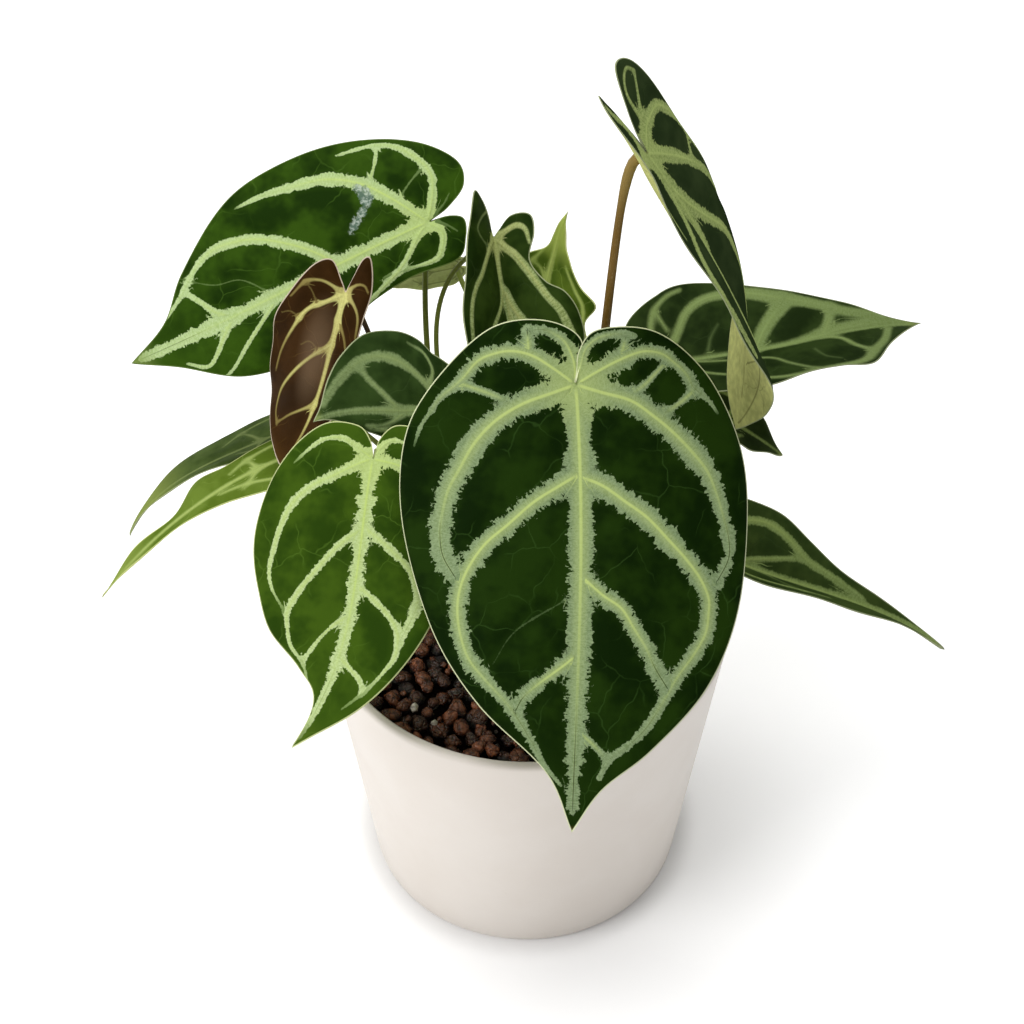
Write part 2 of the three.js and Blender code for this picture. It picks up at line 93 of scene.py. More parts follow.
# Finer than the solids
PETIOLE_SIDES = 16
PETIOLE_RINGS = 56
SHEET_HALF = 0.28
MARGIN_HALF = 0.14
QUILT_HEIGHT = 0.5
CORD_HEIGHT = 0.26
RIPPLE_HEIGHT = 0.5
RELIEF_SUNK = 0.3
VEIN_STEP = 1.2
BAND_BLEND = 0.9
VEIN_REACH = 9.0
FAR = 40.0

# Foot, upper and knee colour of most petioles.
COMMON_STALK = ((92, 92, 40), (104, 114, 44), (130, 142, 66))


def leaf(name, length, left, right, **rest):
    """One leaf, with what most leaves share where it has nothing of its own."""
    common = {"roll": 0, "fold": COMMON_FOLD, "curl": COMMON_CURL, "stalk": COMMON_STALK}
    outlines = {"left": [(0, -1), *left, (0, length)], "right": [(0, -1), *right, (0, length)]}
    return {**common, **rest, **outlines, "name": name, "length": length}


# Each leaf: its look, how fine its grid is around and outward, where the blade meets
# the petiole, the midrib's length, heading, droop and roll, the fold and curl of its
# halves, the petiole's foot, lean, reach and radius, and the outlines of the halves
# between the notch and the tip. Three values of a turn are those at the junction,
# half way and at the tip.
LEAVES = [
    leaf("front", look="dark", grid=(200, 84), junction=(15, 0, 219), length=141, heading=(-84, -92, -93),
         droop=(44, 43, 54), curl=(-25, -30, -15), foot=(6, -8), lean=(14, 26, 195), reach=16, radius=1.7,
         stalk=((90, 66, 34), (122, 124, 58), (150, 160, 84)),
         left=[(2, -11), (9, -17), (27, -15), (43, -1), (53, 19), (55, 42), (52, 68), (41, 94), (24, 114),
          (9, 127)],
         right=[(-3, -14), (8, -21), (25, -20), (42, -7), (54, 9), (59, 30), (56, 54), (47, 80), (31, 102),
          (9, 122)]),
    leaf("front_left", look="fresh", grid=(150, 56), junction=(-50, 0, 187), length=98,
         heading=(-104, -102, -141), droop=(42, 33, 37), roll=4, foot=(-10, -9), lean=(-36, 10, 165),
         reach=14, radius=1.5,
         left=[(1, -7), (6, -12), (15, -11), (24, -2), (29, 12), (30, 28), (28, 45), (23, 60), (14, 77),
          (5, 90)],
         right=[(2, -6), (7, -10), (18, -9), (28, 0), (35, 12), (37, 28), (34, 45), (26, 62), (12, 73),
          (3, 81)]),
    leaf("back_left", look="bright", grid=(160, 60), junction=(-34, 92, 212), length=113,
         heading=(201, 200, 191), droop=(14, 18, 20), roll=-38, foot=(-10, 15), lean=(-43, 64, 132),
         reach=18, radius=1.3,
         left=[(1, -8), (4, -12), (10, -10), (16, -4), (15, 13), (17, 30), (22, 44), (24, 60), (20, 80),
          (8, 98)],
         right=[(2, -9), (7, -17), (16, -18), (28, -8), (37, 9), (42, 31), (41, 50), (34, 67), (21, 85),
          (8, 97)]),
    leaf("young_brown", look="brown", grid=(110, 36), junction=(-60, 47, 217), length=68,
         heading=(239, 219, 196), droop=(58, 68, 45), roll=-10, fold=(14, 10, 4), foot=(-16, 7),
         lean=(-48, 50, 170), reach=14, radius=1.2, stalk=((60, 34, 14), (70, 46, 22), (110, 92, 44)),
         left=[(1, -6), (3, -13), (6, -14), (9, -4), (9, 6), (9, 16), (10, 28), (9, 40), (6, 50), (3, 58)],
         right=[(2, -4), (7, -10), (13, -6), (19, 6), (23, 18), (24, 32), (23, 46), (20, 57), (13, 64),
          (6, 67)]),
    leaf("small_left", look="grey", grid=(100, 36), junction=(-25, 21, 192), length=46,
         heading=(199, 182, 202), droop=(10, -3, 19), roll=-42, foot=(-3, -2), lean=(-12, 20, 165),
         reach=14, radius=1.2,
         left=[(1, -5), (4, -7), (8, -3), (10, 5), (11, 12), (10, 19), (8, 25), (6, 31), (3, 37), (1, 42)],
         right=[(1, -6), (5, -8), (11, -5), (19, 1), (25, 10), (27, 20), (26, 28), (19, 34), (12, 38),
          (4, 42)]),
    leaf("back_folded", look="grey", grid=(110, 40), junction=(-11, 80, 214), length=62,
         heading=(-82, -74, -71), droop=(38, 44, 54), fold={"left": (37, 35, 20), "right": (54, 50, 25)},
         foot=(-2, 13), lean=(-62, 104, 184), reach=16, radius=1.1,
         left=[(2, -3), (7, -7), (14, -6), (15, 1), (12, 10), (16, 18), (22, 23), (25, 31), (24, 42),
          (14, 54)],
         right=[(2, -7), (5, -13), (8, -16), (11, -11), (14, 0), (19, 12), (23, 26), (23, 38), (19, 48),
          (10, 56)]),
    leaf("back_young", look="pale", grid=(80, 28), junction=(5, 96, 165), length=43, heading=48, droop=-71,
         fold=(12, 12, 8), foot=(7, 19), lean=(4, 66, 140), reach=14, radius=1.1,
         left=[(2, -6), (7, -9), (13, -6), (16, 1), (16, 8), (14, 16), (11, 22), (5, 27), (3, 33), (2, 38)],
         right=[(3, -7), (11, -13), (20, -12), (24, -3), (20, 8), (22, 16), (14, 20), (7, 27), (3, 31),
          (1, 37)]),
    leaf("tall", look="grey", grid=(160, 56), junction=(36, 30, 286), length=122, heading=(-16, -2, -53),
         droop=(60, 68, 109), roll=(11, -3, -84), fold={"left": (-4, 20, 3), "right": (6, 19, 6)},
         curl={"left": (-10, -33, 35), "right": (66, -29, 12)}, foot=(17, 8), lean=(29, 34, 274), reach=10,
         radius=1.8, stalk=((72, 38, 4), (110, 82, 22), (132, 110, 52)),
         left=[(2, -15), (9, -27), (19, -21), (26, 2), (30, 28), (31, 50), (31, 70), (32, 88), (29, 104),
          (18, 115)],
         right=[(2, -12), (5, -22), (11, -28), (19, -12), (19, 18), (20, 42), (23, 63), (20, 84), (12, 102),
          (5, 113)]),
    leaf("right_back", look="grey", grid=(120, 40), junction=(48, 75, 163), length=100, heading=(2, 18, 21),
         droop=(-2, 0, 17), fold=(20, 20, 12), curl=(-10, -10, -5), foot=(20, 14), lean=(42, 62, 140),
         reach=12, radius=1.3,
         left=[(2, -5), (6, -10), (16, -12), (26, -4), (32, 8), (32, 24), (25, 44), (20, 58), (12, 73),
          (4, 86)],
         right=[(2, -5), (8, -10), (17, -9), (23, 0), (27, 14), (28, 28), (24, 43), (25, 55), (26, 66),
          (13, 80)]),
    leaf("right_small", look="grey", grid=(70, 22), junction=(60, 64, 154), length=39, heading=-7,
         droop=(30, 34, 40), roll=10, fold=(12, 12, 6), curl=(-10, -10, -5), foot=(23, 5),
         lean=(50, 60, 142), reach=12, radius=1.0,
         left=[(1, -5), (4, -7), (8, -5), (11, 0), (12, 7), (12, 14), (11, 21), (9, 26), (5, 32), (2, 36)],
         right=[(1, -5), (4, -7), (7, -5), (9, 0), (9, 7), (9, 14), (8, 21), (7, 26), (4, 32), (2, 36)]),
    leaf("right_low", look="grey", grid=(120, 36), junction=(60, 18, 129), length=96,
         heading=(-17, -8, -16), droop=(24, 17, 38), fold=(36, 34, 20), curl=(-10, -10, -5), foot=(16, -3),
         lean=(28, 4, 140), reach=12, radius=1.3,
         left=[(3, -6), (8, -9), (16, -6), (21, 3), (23, 12), (22, 25), (16, 38), (9, 52), (5, 66),
          (2, 82)],
         right=[(3, -6), (7, -8), (10, -4), (12, 4), (13, 14), (13, 28), (12, 40), (9, 55), (6, 68),
          (3, 80)]),
    leaf("left_upper", look="grey", grid=(110, 32), junction=(-71, 80, 138), length=92,
         heading=(205, 194, 206), droop=(25, 21, 65), roll=(22, 22, 15), fold=(6, 6, 4),
         curl=(-10, -10, -5), foot=(-17, 15), lean=(-44, 62, 140), reach=10, radius=1.2,
         left=[(2, -6), (7, -8), (12, -4), (15, 4), (16, 14), (14, 26), (11, 37), (8, 48), (4, 60),
          (2, 72)],
         right=[(2, -6), (8, -9), (14, -5), (18, 4), (20, 15), (21, 30), (20, 43), (14, 57), (10, 68),
          (5, 80)]),
    leaf("left_lower", look="pale", grid=(110, 32), junction=(-64, 46, 152), length=103,
         heading=(188, 207, 205), droop=(7, 22, 49), roll=8, fold=(6, 6, 4), curl=(-10, -10, -5),
         foot=(-18, -2), lean=(-44, 32, 145), reach=8, radius=1.2,
         left=[(2, -6), (7, -9), (13, -5), (17, 4), (18, 16), (14, 32), (8, 46), (5, 60), (3, 74), (1, 88)],
         right=[(2, -6), (7, -9), (12, -5), (15, 4), (15, 14), (12, 27), (9, 40), (11, 52), (3, 65),
          (4, 84)]),
    leaf("back_small", look="pale", grid=(60, 20), junction=(-25, 108, 180), length=30, heading=190,
         droop=8, roll=72, foot=(1, 22), lean=(-4, 84, 150), reach=10, radius=1.0,
         left=[(1, -2), (3, -4), (6, -3), (9, 1), (10, 6), (9, 12), (8, 17), (6, 21), (3, 25), (1, 28)],
         right=[(1, -2), (3, -4), (6, -3), (9, 1), (10, 6), (9, 12), (8, 17), (6, 21), (3, 25), (1, 28)]),
]

# Veins of each blade: half the pale band's width at even steps from its start to
# its end, and the line that the vein follows.
VEINS = {
    "front": [
        ((4.3, 4.2, 3.8, 3.3, 1.6), [(0, 0), (0, 30), (0, 70), (0, 110), (0, 134)]),
        ((4.0, 4.0, 4.0, 3.8, 3.2), [(0, 0), (-7, 2), (-17, 5), (-26, 10), (-33, 17), (-38, 25), (-42, 32),
         (-44, 39), (-45, 46), (-44, 54), (-40, 61)]),
        ((3.4, 3.2, 3.1, 2.0, 0.5), [(0, 28), (-7, 32), (-15, 37), (-23, 44), (-30, 50), (-35, 57),
         (-38, 64), (-39, 71), (-38, 79), (-35, 87), (-30, 93), (-21, 102), (-14, 112), (-10, 119),
         (-4, 126)]),
        ((2.4, 2.2), [(0, 84), (-3, 87), (-8, 91), (-13, 95), (-17, 99), (-19, 103)]),
        ((3.2, 3.0, 2.4, 1.1, 0.3), [(0, 0), (-6, -5), (-13, -10), (-20, -12), (-27, -11), (-31, -9),
         (-36, -4), (-43, 1), (-46, 5), (-50, 10), (-53, 17)]),
        ((1.2, 1.4), [(-36, -3), (-27, 1), (-20, 5)]),
        ((2.8, 2.4, 1.8, 1.5, 1.2), [(0, 0), (0, -7), (-2, -13), (-5, -16), (-9, -18), (-13, -18)]),
        ((1.8, 2.0), [(-14, -11), (-14, -15), (-14, -18)]),
        ((4.2, 3.6, 3.9, 2.4, 2.0), [(0, 0), (8, 3), (17, 6), (24, 11), (30, 16), (36, 22), (41, 28),
         (44, 35), (46, 41), (48, 48), (48, 54), (44, 61)]),
        ((3.5, 3.6, 2.9, 1.8, 0.8), [(0, 29), (7, 32), (14, 37), (21, 42), (28, 49), (33, 54), (38, 60),
         (41, 66), (41, 71), (40, 77), (36, 84), (31, 91), (25, 102), (21, 108), (16, 113), (11, 117),
         (8, 123)]),
        ((2.7, 2.7, 2.6, 2.5, 2.8), [(0, 60), (7, 66), (13, 70), (17, 76), (21, 82), (24, 88), (28, 94)]),
        ((1.0, 1.0), [(0, 108), (6, 113), (10, 117)]),
        ((3.2, 2.9, 2.2, 2.0, 0.3), [(0, 0), (8, -4), (15, -7), (22, -9), (28, -8), (32, -5), (36, -1),
         (38, 3), (43, 7), (46, 11)]),
        ((0.9, 1.2), [(28, -4), (21, 2), (14, 5)]),
        ((1.0, 1.4), [(38, 4), (32, 8), (26, 11)]),
        ((2.8, 1.4, 1.2, 1.3, 0.5), [(0, 0), (2, -6), (4, -11), (8, -14), (14, -15), (20, -14)]),
        ((1.4, 1.4), [(15, -8), (17, -14)]),
        ((0.25, 0.2, 0.1), [(-5, 68), (-20, 78), (-27, 89)]),
    ],
    "front_left": [
        ((2.8, 2.4, 2.1, 1.8, 0.8), [(0, 0), (0, 30), (0, 60), (0, 94)]),
        ((2.2, 1.4, 1.3, 0.7, 0.3), [(0, 0), (-4, 2), (-12, 7), (-19, 11), (-25, 17), (-28, 25), (-29, 31),
         (-30, 39), (-28, 46), (-22, 54)]),
        ((1.4, 1.1, 1.2, 0.6, 0.4), [(0, 23), (-7, 29), (-13, 37), (-18, 45), (-21, 53), (-20, 59),
         (-17, 66), (-11, 71), (-7, 77)]),
        ((1.1, 0.5, 0.8), [(0, 52), (-4, 55), (-8, 61), (-11, 69)]),
        ((1.2, 1.4, 1.1, 1.4, 1.1), [(0, 22), (10, 29), (17, 35), (20, 41), (21, 46), (18, 57)]),
        ((1.0, 1.0, 0.9, 0.5, 0.3), [(0, 41), (9, 47), (14, 51), (17, 55), (18, 61), (16, 66), (13, 72),
         (8, 80)]),
        ((0.9, 0.7), [(0, 65), (5, 68), (9, 70), (12, 73)]),
        ((2.1, 1.0, 0.8, 0.6, 0.3), [(0, 0), (-6, -3), (-11, -5), (-17, -4), (-21, -1), (-27, 5)]),
        ((1.4, 0.3), [(0, 0), (2, -4), (6, -7), (13, -6)]),
        ((2.2, 1.6, 1.0), [(0, 0), (10, 1), (18, 5), (23, 12), (26, 24), (25, 36), (20, 47)]),
    ],
    "back_left": [
        ((2.2, 2.9, 2.4, 2.6, 1.5), [(0, 0), (0, 40), (0, 80), (0, 109)]),
        ((2.0, 2.6, 2.4, 1.6, 0.3), [(0, 0), (-5, 3), (-13, 8), (-22, 15), (-29, 25), (-32, 36), (-34, 47),
         (-34, 58)]),
        ((1.6, 1.4, 1.4, 0.8, 0.5), [(0, 0), (-4, -3), (-9, -6), (-15, -8), (-22, -6), (-29, -1), (-33, 6),
         (-35, 18)]),
        ((0.5, 0.6), [(-20, 13), (-26, 8), (-31, 5)]),
        ((0.3, 0.3), [(-11, 6), (-15, 0), (-18, -6)]),
        ((2.2, 1.9, 1.8, 0.9, 0.5), [(0, 34), (-7, 39), (-14, 46), (-21, 56), (-24, 67), (-23, 75),
         (-19, 82), (-14, 88), (-8, 98)]),
        ((1.3, 0.8), [(0, 74), (-4, 79), (-9, 82), (-15, 86)]),
        ((1.4, 0.8, 0.5), [(0, 74), (5, 80), (9, 84), (12, 89), (8, 95)]),
        ((0.6, 0.7, 0.5), [(0, 56), (6, 66), (11, 74), (16, 81), (18, 86)]),
        ((1.3, 1.2, 0.5, 0.3), [(0, 0), (5, -3), (10, -1), (13, 3), (12, 13), (11, 22)]),
        ((1.3, 1.0, 0.8, 0.4), [(0, 0), (3, 5), (7, 10), (11, 16), (15, 27), (20, 42)]),
        ((0.3, 0.2), [(0, 0), (3, -5), (7, -8)]),
        ((0.3, 0.2), [(0, 0), (-3, -7), (-6, -11)]),
        ((0.25, 0.2, 0.15), [(0, 58), (-10, 66), (-13, 76), (-22, 88)]),
    ],
    "young_brown": [
        ((1.0, 0.8, 0.6, 0.3), [(0, 0), (0, 30), (0, 64)]),
        ((0.7, 0.6, 0.4, 0.3), [(0, 0), (-5, 4), (-11, 9), (-15, 18), (-19, 30), (-20, 40)]),
        ((0.5, 0.4, 0.3), [(0, 0), (-6, -2), (-10, -2), (-14, 0), (-18, 7)]),
        ((0.6, 0.5, 0.3), [(0, 18), (-6, 25), (-12, 35), (-16, 46), (-16, 55), (-12, 60)]),
        ((0.5, 0.3), [(0, 41), (-8, 51), (-12, 58)]),
        ((0.5, 0.3), [(0, 0), (3, -4), (6, -5), (8, -3)]),
        ((0.5, 0.3), [(0, 0), (4, 2), (7, 6), (8, 13)]),
        ((0.4, 0.2), [(0, 9), (4, 14), (7, 22), (8, 30)]),
        ((0.25, 0.15), [(-8, 6), (-11, 2), (-14, 0)]),
        ((0.25, 0.15), [(-13, 13), (-17, 12), (-20, 14)]),
        ((0.2, 0.15), [(-4, 22), (-8, 20), (-11, 23)]),
    ],
    "small_left": [
        ((1.7, 1.4, 0.8), [(0, 0), (0, 24), (0, 44)]),
        ((1.1, 1.0, 1.8, 1.5, 1.0), [(0, 0), (-7, 6), (-13, 12), (-17, 19), (-18, 25), (-16, 30), (-11, 35),
         (-4, 41)]),
        ((0.9, 0.8), [(0, 17), (-5, 22), (-10, 27), (-15, 30)]),
        ((0.8, 0.4), [(-8, 6), (-13, 3), (-19, 6), (-23, 14)]),
        ((1.0, 0.5), [(0, 0), (4, 3), (7, 10), (7, 19), (5, 28)]),
        ((0.6, 0.4), [(0, 15), (4, 20), (6, 26)]),
    ],
    "back_folded": [
        ((1.2, 0.9, 1.4, 2.2), [(0, 0), (0, 11), (0, 16), (1, 21), (1, 30), (0, 58)]),
        ((0.8, 0.9, 0.7), [(0, 0), (-3, 3), (-7, 8), (-11, 13), (-15, 17), (-18, 22), (-20, 29),
         (-21, 36)]),
        ((0.6, 0.4, 0.3), [(0, 0), (0, -6), (-1, -10), (-6, -7), (-9, -3), (-8, 0), (-5, 3)]),
        ((1.2, 1.5, 1.2, 1.5), [(0, 0), (4, 4), (7, 7), (10, 12), (13, 18), (16, 24), (19, 29), (21, 38)]),
        ((0.9, 1.0, 0.5), [(0, 0), (5, -2), (9, -3), (12, -1), (13, 4)]),
        ((1.4, 1.8, 1.4), [(1, 19), (3, 25), (6, 31), (10, 38)]),
        ((0.7, 0.8), [(0, 19), (-3, 24), (-9, 30)]),
    ],
    "tall": [
        ((2.4, 1.6, 1.6, 1.4, 0.6), [(0, 0), (1, 10), (1, 19), (1, 28), (0, 38), (-4, 48), (-9, 57),
         (-11, 67), (-10, 78), (-7, 92), (-3, 106), (0, 118)]),
        ((3.4, 1.9, 1.8), [(0, 0), (5, 4), (12, 11), (19, 20), (25, 30), (29, 41)]),
        ((2.6, 2.0, 3.0, 1.6), [(1, 14), (4, 25), (9, 36), (15, 46), (18, 55), (20, 66), (16, 74), (13, 81),
         (8, 94), (3, 108)]),
        ((3.1, 1.8, 1.1), [(0, 0), (6, -5), (11, -6), (16, -6), (20, -4), (25, 3), (28, 11), (29, 20),
         (30, 27)]),
        ((0.8, 0.8), [(28, 14), (23, 17), (20, 21)]),
        ((1.6, 0.9, 0.5), [(0, 0), (7, -6), (9, -11), (12, -15), (15, -19)]),
        ((0.8, 0.5), [(7, -6), (6, -12), (6, -18), (9, -22), (13, -23), (16, -20)]),
        ((2.5, 1.4, 1.0), [(0, 0), (-1, -7), (-3, -13), (-7, -19), (-10, -24)]),
        ((1.6, 2.1, 2.3, 1.8, 1.2), [(1, 12), (-3, 23), (-7, 28), (-13, 32), (-17, 38), (-19, 47),
         (-20, 60), (-20, 72)]),
        ((1.1, 0.5), [(0, 0), (-8, 4), (-13, 14), (-15, 24)]),
        ((0.4, 0.3), [(-9, 83), (0, 90), (8, 98)]),
    ],
    "right_back": [
        ((1.0, 1.1, 1.8, 2.8, 2.4), [(0, 0), (0, 24), (-1, 44), (0, 57), (1, 67), (1, 81), (0, 94)]),
        ((1.6, 1.7, 2.0, 3.0, 2.2, 1.8), [(0, 0), (10, 6), (20, 12), (25, 22), (24, 36), (19, 49), (16, 57),
         (12, 65), (8, 72), (4, 84)]),
        ((1.0, 1.1, 0.8), [(0, 0), (8, -3), (15, -3), (20, -2), (24, 0), (28, 5), (30, 11)]),
        ((0.7, 0.6), [(21, -1), (17, 1), (13, 3)]),
        ((2.2, 2.6, 3.2), [(-1, 33), (6, 38), (11, 43), (15, 48), (18, 51)]),
        ((1.6, 1.7, 1.8), [(0, 58), (2, 61), (6, 64), (11, 67)]),
        ((0.4, 0.3), [(3, 17), (8, 19), (13, 23)]),
        ((0.7, 0.6, 0.5), [(0, 6), (-3, 15), (-6, 26), (-9, 36), (-16, 41), (-23, 47)]),
        ((0.8, 0.7, 0.8, 1.6, 1.2), [(0, 0), (-12, 13), (-17, 21), (-23, 32), (-24, 45), (-25, 58),
         (-23, 65), (-18, 70), (-11, 78), (-3, 84)]),
        ((1.0, 1.1), [(0, 58), (-5, 64), (-12, 66), (-18, 70)]),
        ((0.35, 0.3), [(-9, 52), (-16, 53), (-20, 57)]),
    ],
    "back_young": [
        ((1.2, 1.2, 0.8, 0.4), [(0, 0), (1, 14), (1, 27), (1, 35), (0, 42)]),
        ((0.9, 0.8, 0.5), [(0, 0), (-10, -2), (-17, 2), (-19, 8), (-17, 14), (-12, 18), (-6, 24)]),
        ((0.6, 0.4), [(1, 14), (3, 17), (5, 19), (8, 20)]),
        ((0.6, 0.4), [(0, 0), (8, 2), (12, 8), (11, 16), (7, 23), (4, 30)]),
    ],
    "right_low": [
        ((1.6, 1.4, 1.2), [(0, 0), (0, 30), (0, 60), (0, 92)]),
        ((1.8, 1.6, 1.2), [(0, 0), (8, 5), (15, 12), (17, 21), (14, 30), (9, 38), (6, 48), (2, 60)]),
        ((1.0, 0.9), [(0, 14), (3, 19), (6, 27), (9, 36)]),
        ((0.8, 0.5), [(0, 0), (-7, 5), (-10, 16), (-9, 32), (-6, 48)]),
        ((0.5, 0.3), [(0, 20), (-5, 29), (-8, 38)]),
    ],
}

# A healed tear, written like a vein.
SCARS = {
    "back_left": [((1.6, 2.2, 0.9, 1.4, 0.9), [(-21, 16), (-17, 15), (-14, 17), (-11, 21), (-8, 25)])],
}

# Colours as the eye sees them, red, green and blue of 255.
LOOKS = {
    "dark": dict(lamina=(10, 28, 1), glow=(26, 47, 5), band=(136, 154, 114), fleck=(104, 124, 84),
        core=(178, 194, 112), net=(46, 72, 26), margin=(206, 212, 170), under=(146, 158, 98),
        teeth=1.0, soft=0.14, line=0.5, cord=0.6, shine=0.03, tip=(92, 74, 34), tip_share=(0.98, 1.0)),
    "bright": dict(lamina=(22, 44, 3), glow=(48, 76, 12), band=(180, 200, 146), fleck=(152, 176, 112),
        core=(174, 194, 106), net=(66, 96, 30), margin=(98, 118, 60), under=(150, 164, 96),
        teeth=0.7, soft=0.16, line=0.45, cord=0.55, shine=0.03, tip=(120, 140, 70), tip_share=(0.9, 1.0)),
    "fresh": dict(lamina=(36, 60, 6), glow=(58, 84, 15), band=(184, 202, 146), fleck=(156, 176, 112),
        core=(168, 188, 98), net=(78, 108, 34), margin=(190, 198, 140), under=(150, 164, 96),
        teeth=1.0, soft=0.16, line=0.45, cord=0.6, shine=0.03, tip=(70, 92, 20), tip_share=(0.86, 0.97)),
    "grey": dict(lamina=(24, 38, 10), glow=(42, 58, 22), band=(126, 144, 86), fleck=(104, 122, 66),
        core=(146, 162, 90), net=(52, 70, 34), margin=(150, 158, 120), under=(150, 156, 92),
        teeth=0.5, soft=0.5, line=0.3, cord=0.4, shine=0.03, tip=(128, 142, 74), tip_share=(0.9, 1.0)),
    "brown": dict(lamina=(40, 22, 0), glow=(56, 34, 7), band=(188, 184, 112), fleck=(162, 152, 84),
        core=(212, 212, 136), net=(104, 80, 34), margin=(196, 180, 160), under=(120, 84, 52),
        teeth=0.05, soft=0.3, line=0.2, cord=0.8, shine=0.05, tip=(70, 48, 16), tip_share=(0.9, 1.0)),
    "pale": dict(lamina=(80, 102, 26), glow=(100, 122, 44), band=(166, 182, 102), fleck=(146, 164, 86),
        core=(178, 192, 112), net=(120, 142, 62), margin=(186, 194, 128), under=(164, 176, 108),
        teeth=0.4, soft=0.7, line=0.4, cord=0.4, shine=0.04, tip=(134, 150, 70), tip_share=(0.7, 0.95)),
}

# What a blade has otherwise than its look.
OWN = {
    # young_brown has a painted sheen: a lighter patch by the midrib standing in for a highlight.
    "young_brown": dict(satin=(-5, 24, 8, 26), satin_colour=(122, 100, 76)),
    "back_folded": dict(lamina=(22, 39, 5), glow=(44, 62, 18), band=(158, 172, 116), core=(170, 172, 104),
        teeth=0.15, soft=0.4),
    "back_young": dict(lamina=(56, 78, 12), glow=(92, 112, 34), band=(156, 172, 92), core=(160, 174, 90),
        tip=(156, 172, 80), tip_share=(0.5, 0.8)),
    "tall": dict(band=(158, 172, 108), core=(164, 180, 106), lamina=(36, 49, 26), glow=(48, 61, 34),
        under=(190, 194, 122), soft=0.3, shine=0.0),
    "right_back": dict(band=(120, 138, 86), core=(128, 146, 86), teeth=0.15, soft=0.9),
    "right_low": dict(lamina=(38, 54, 20), glow=(56, 72, 30)),
    "right_small": dict(lamina=(30, 44, 14), glow=(50, 64, 28)),
    "left_upper": dict(lamina=(58, 75, 32), glow=(80, 98, 48), band=(118, 132, 80), core=(128, 140, 86),
        tip=(132, 146, 72), tip_share=(0.6, 0.85)),
    "back_small": dict(lamina=(50, 64, 6), glow=(68, 82, 16)),
    "small_left": dict(lamina=(27, 44, 12), glow=(48, 68, 28), band=(118, 136, 90), fleck=(98, 116, 70),
        core=(132, 148, 90)),
    "left_lower": dict(band=(154, 172, 98), core=(162, 178, 100), cord=0.2),
}


def paint(colour):
    """Linear colour, with alpha, from one of 255 as the eye sees it."""
    linear = [(c / 255 / 12.92) if c < 11 else ((c / 255 + 0.055) / 1.055) ** 2.4 for c in colour]
    return (*linear, 1.0)


def shade(colour, share):
    return tuple(c * share for c in colour)


# Node trees

class Value:
    """An output in a node tree. What is worked out from it becomes new nodes."""

    def __init__(self, socket):
        self.socket = socket

    def into(self, kind, inputs, output=0, **settings):
        return node(self.socket.id_data, kind, inputs, output, **settings)

    def maths(self, operation, b=0.0, c=0.0):
        return self.into("ShaderNodeMath", {0: self, 1: b, 2: c}, operation=operation)

    def __add__(self, other):
        return self.maths("ADD", other)

    def __sub__(self, other):
        return self.maths("SUBTRACT", other)

    def __mul__(self, other):
        return self.maths("MULTIPLY", other)

    def __truediv__(self, other):
        return self.maths("DIVIDE", other)

    def times_plus(self, factor, rest):
        return self.maths("MULTIPLY_ADD", factor, rest)

    def at_least(self, other):
        return self.maths("MAXIMUM", other)

    def ramp(self, low, high, start=0.0, end=1.0):
        """The value's way from low to high, smoothed and clamped."""
        limits = {"Value": self, "From Min": low, "From Max": high, "To Min": start, "To Max": end}
        return self.into("ShaderNodeMapRange", limits, interpolation_type="SMOOTHSTEP")

    def blend(self, a, b):
        """Colour a where the value is 0, b where it is 1. Each is a value or a colour of 255."""
        a, b = (end if isinstance(end, Value) else paint(end) for end in (a, b))
        return self.into("ShaderNodeMix", {0: self, 6: a, 7: b}, 2, data_type="RGBA")

    def grain(self, scale, detail=3.0, roughness=0.6):
        noise_inputs = {"Vector": self, "Scale": scale, "Detail": detail, "Roughness": roughness}
        return self.into("ShaderNodeTexNoise", noise_inputs)

    def vector(self, y, z=0.0):
        return self.into("ShaderNodeCombineXYZ", {0: self, 1: y, 2: z})

    def length(self):
        return self.into("ShaderNodeVectorMath", {0: self}, "Value", operation="LENGTH")


def put(socket, value):
    """Links a value to a socket, or sets the socket."""
    if isinstance(value, Value):
        socket.id_data.links.new(value.socket, socket)
    else:
        socket.default_value = value


def node(tree, kind, inputs=None, output=0, **settings):
    """One output of a new shader node, with the node's inputs linked or set."""
    made = tree.nodes.new(kind)
    for key, value in settings.items():
        setattr(made, key, value)
    for socket, value in (inputs or {}).items():
        put(made.inputs[socket], value)
    return Value(made.outputs[output])


def attribute(tree, name):
    """The three channels of a vector kept on the mesh, and the vector."""
    vector = node(tree, "ShaderNodeAttribute", output="Vector", attribute_name=name)
    first = vector.into("ShaderNodeSeparateXYZ", {0: vector})
    return *(Value(channel) for channel in first.socket.node.outputs), vector


def new_material(name):
    made = bpy.data.materials.new(name)
    made.use_nodes = True
    return made, made.node_tree


def surface(made, colour, roughness, gloss, height=None, strength=0.0, distance=0.0):
    """The material, once its shader's inputs are linked or set."""
    shader = made.node_tree.nodes["Principled BSDF"]
    put(shader.inputs["Base Color"], colour)
    put(shader.inputs["Roughness"], roughness)
    shader.inputs["Specular IOR Level"].default_value = gloss
    if height:
        relief = {"Height": height, "Strength": strength, "Distance": distance}
        put(shader.inputs["Normal"], height.into("ShaderNodeBump", relief))
    return made


def satin(x, y, patch):
    """Share of a painted sheen, a highlight patch painted about a flat place, with its reach across and
    along.
    """
    middle_x, middle_y, reach_x, reach_y = patch
    away = ((x - middle_x) / reach_x).vector((y - middle_y) / reach_y)
    return away.length().ramp(1.0, 0.2, 0.0, 0.45)


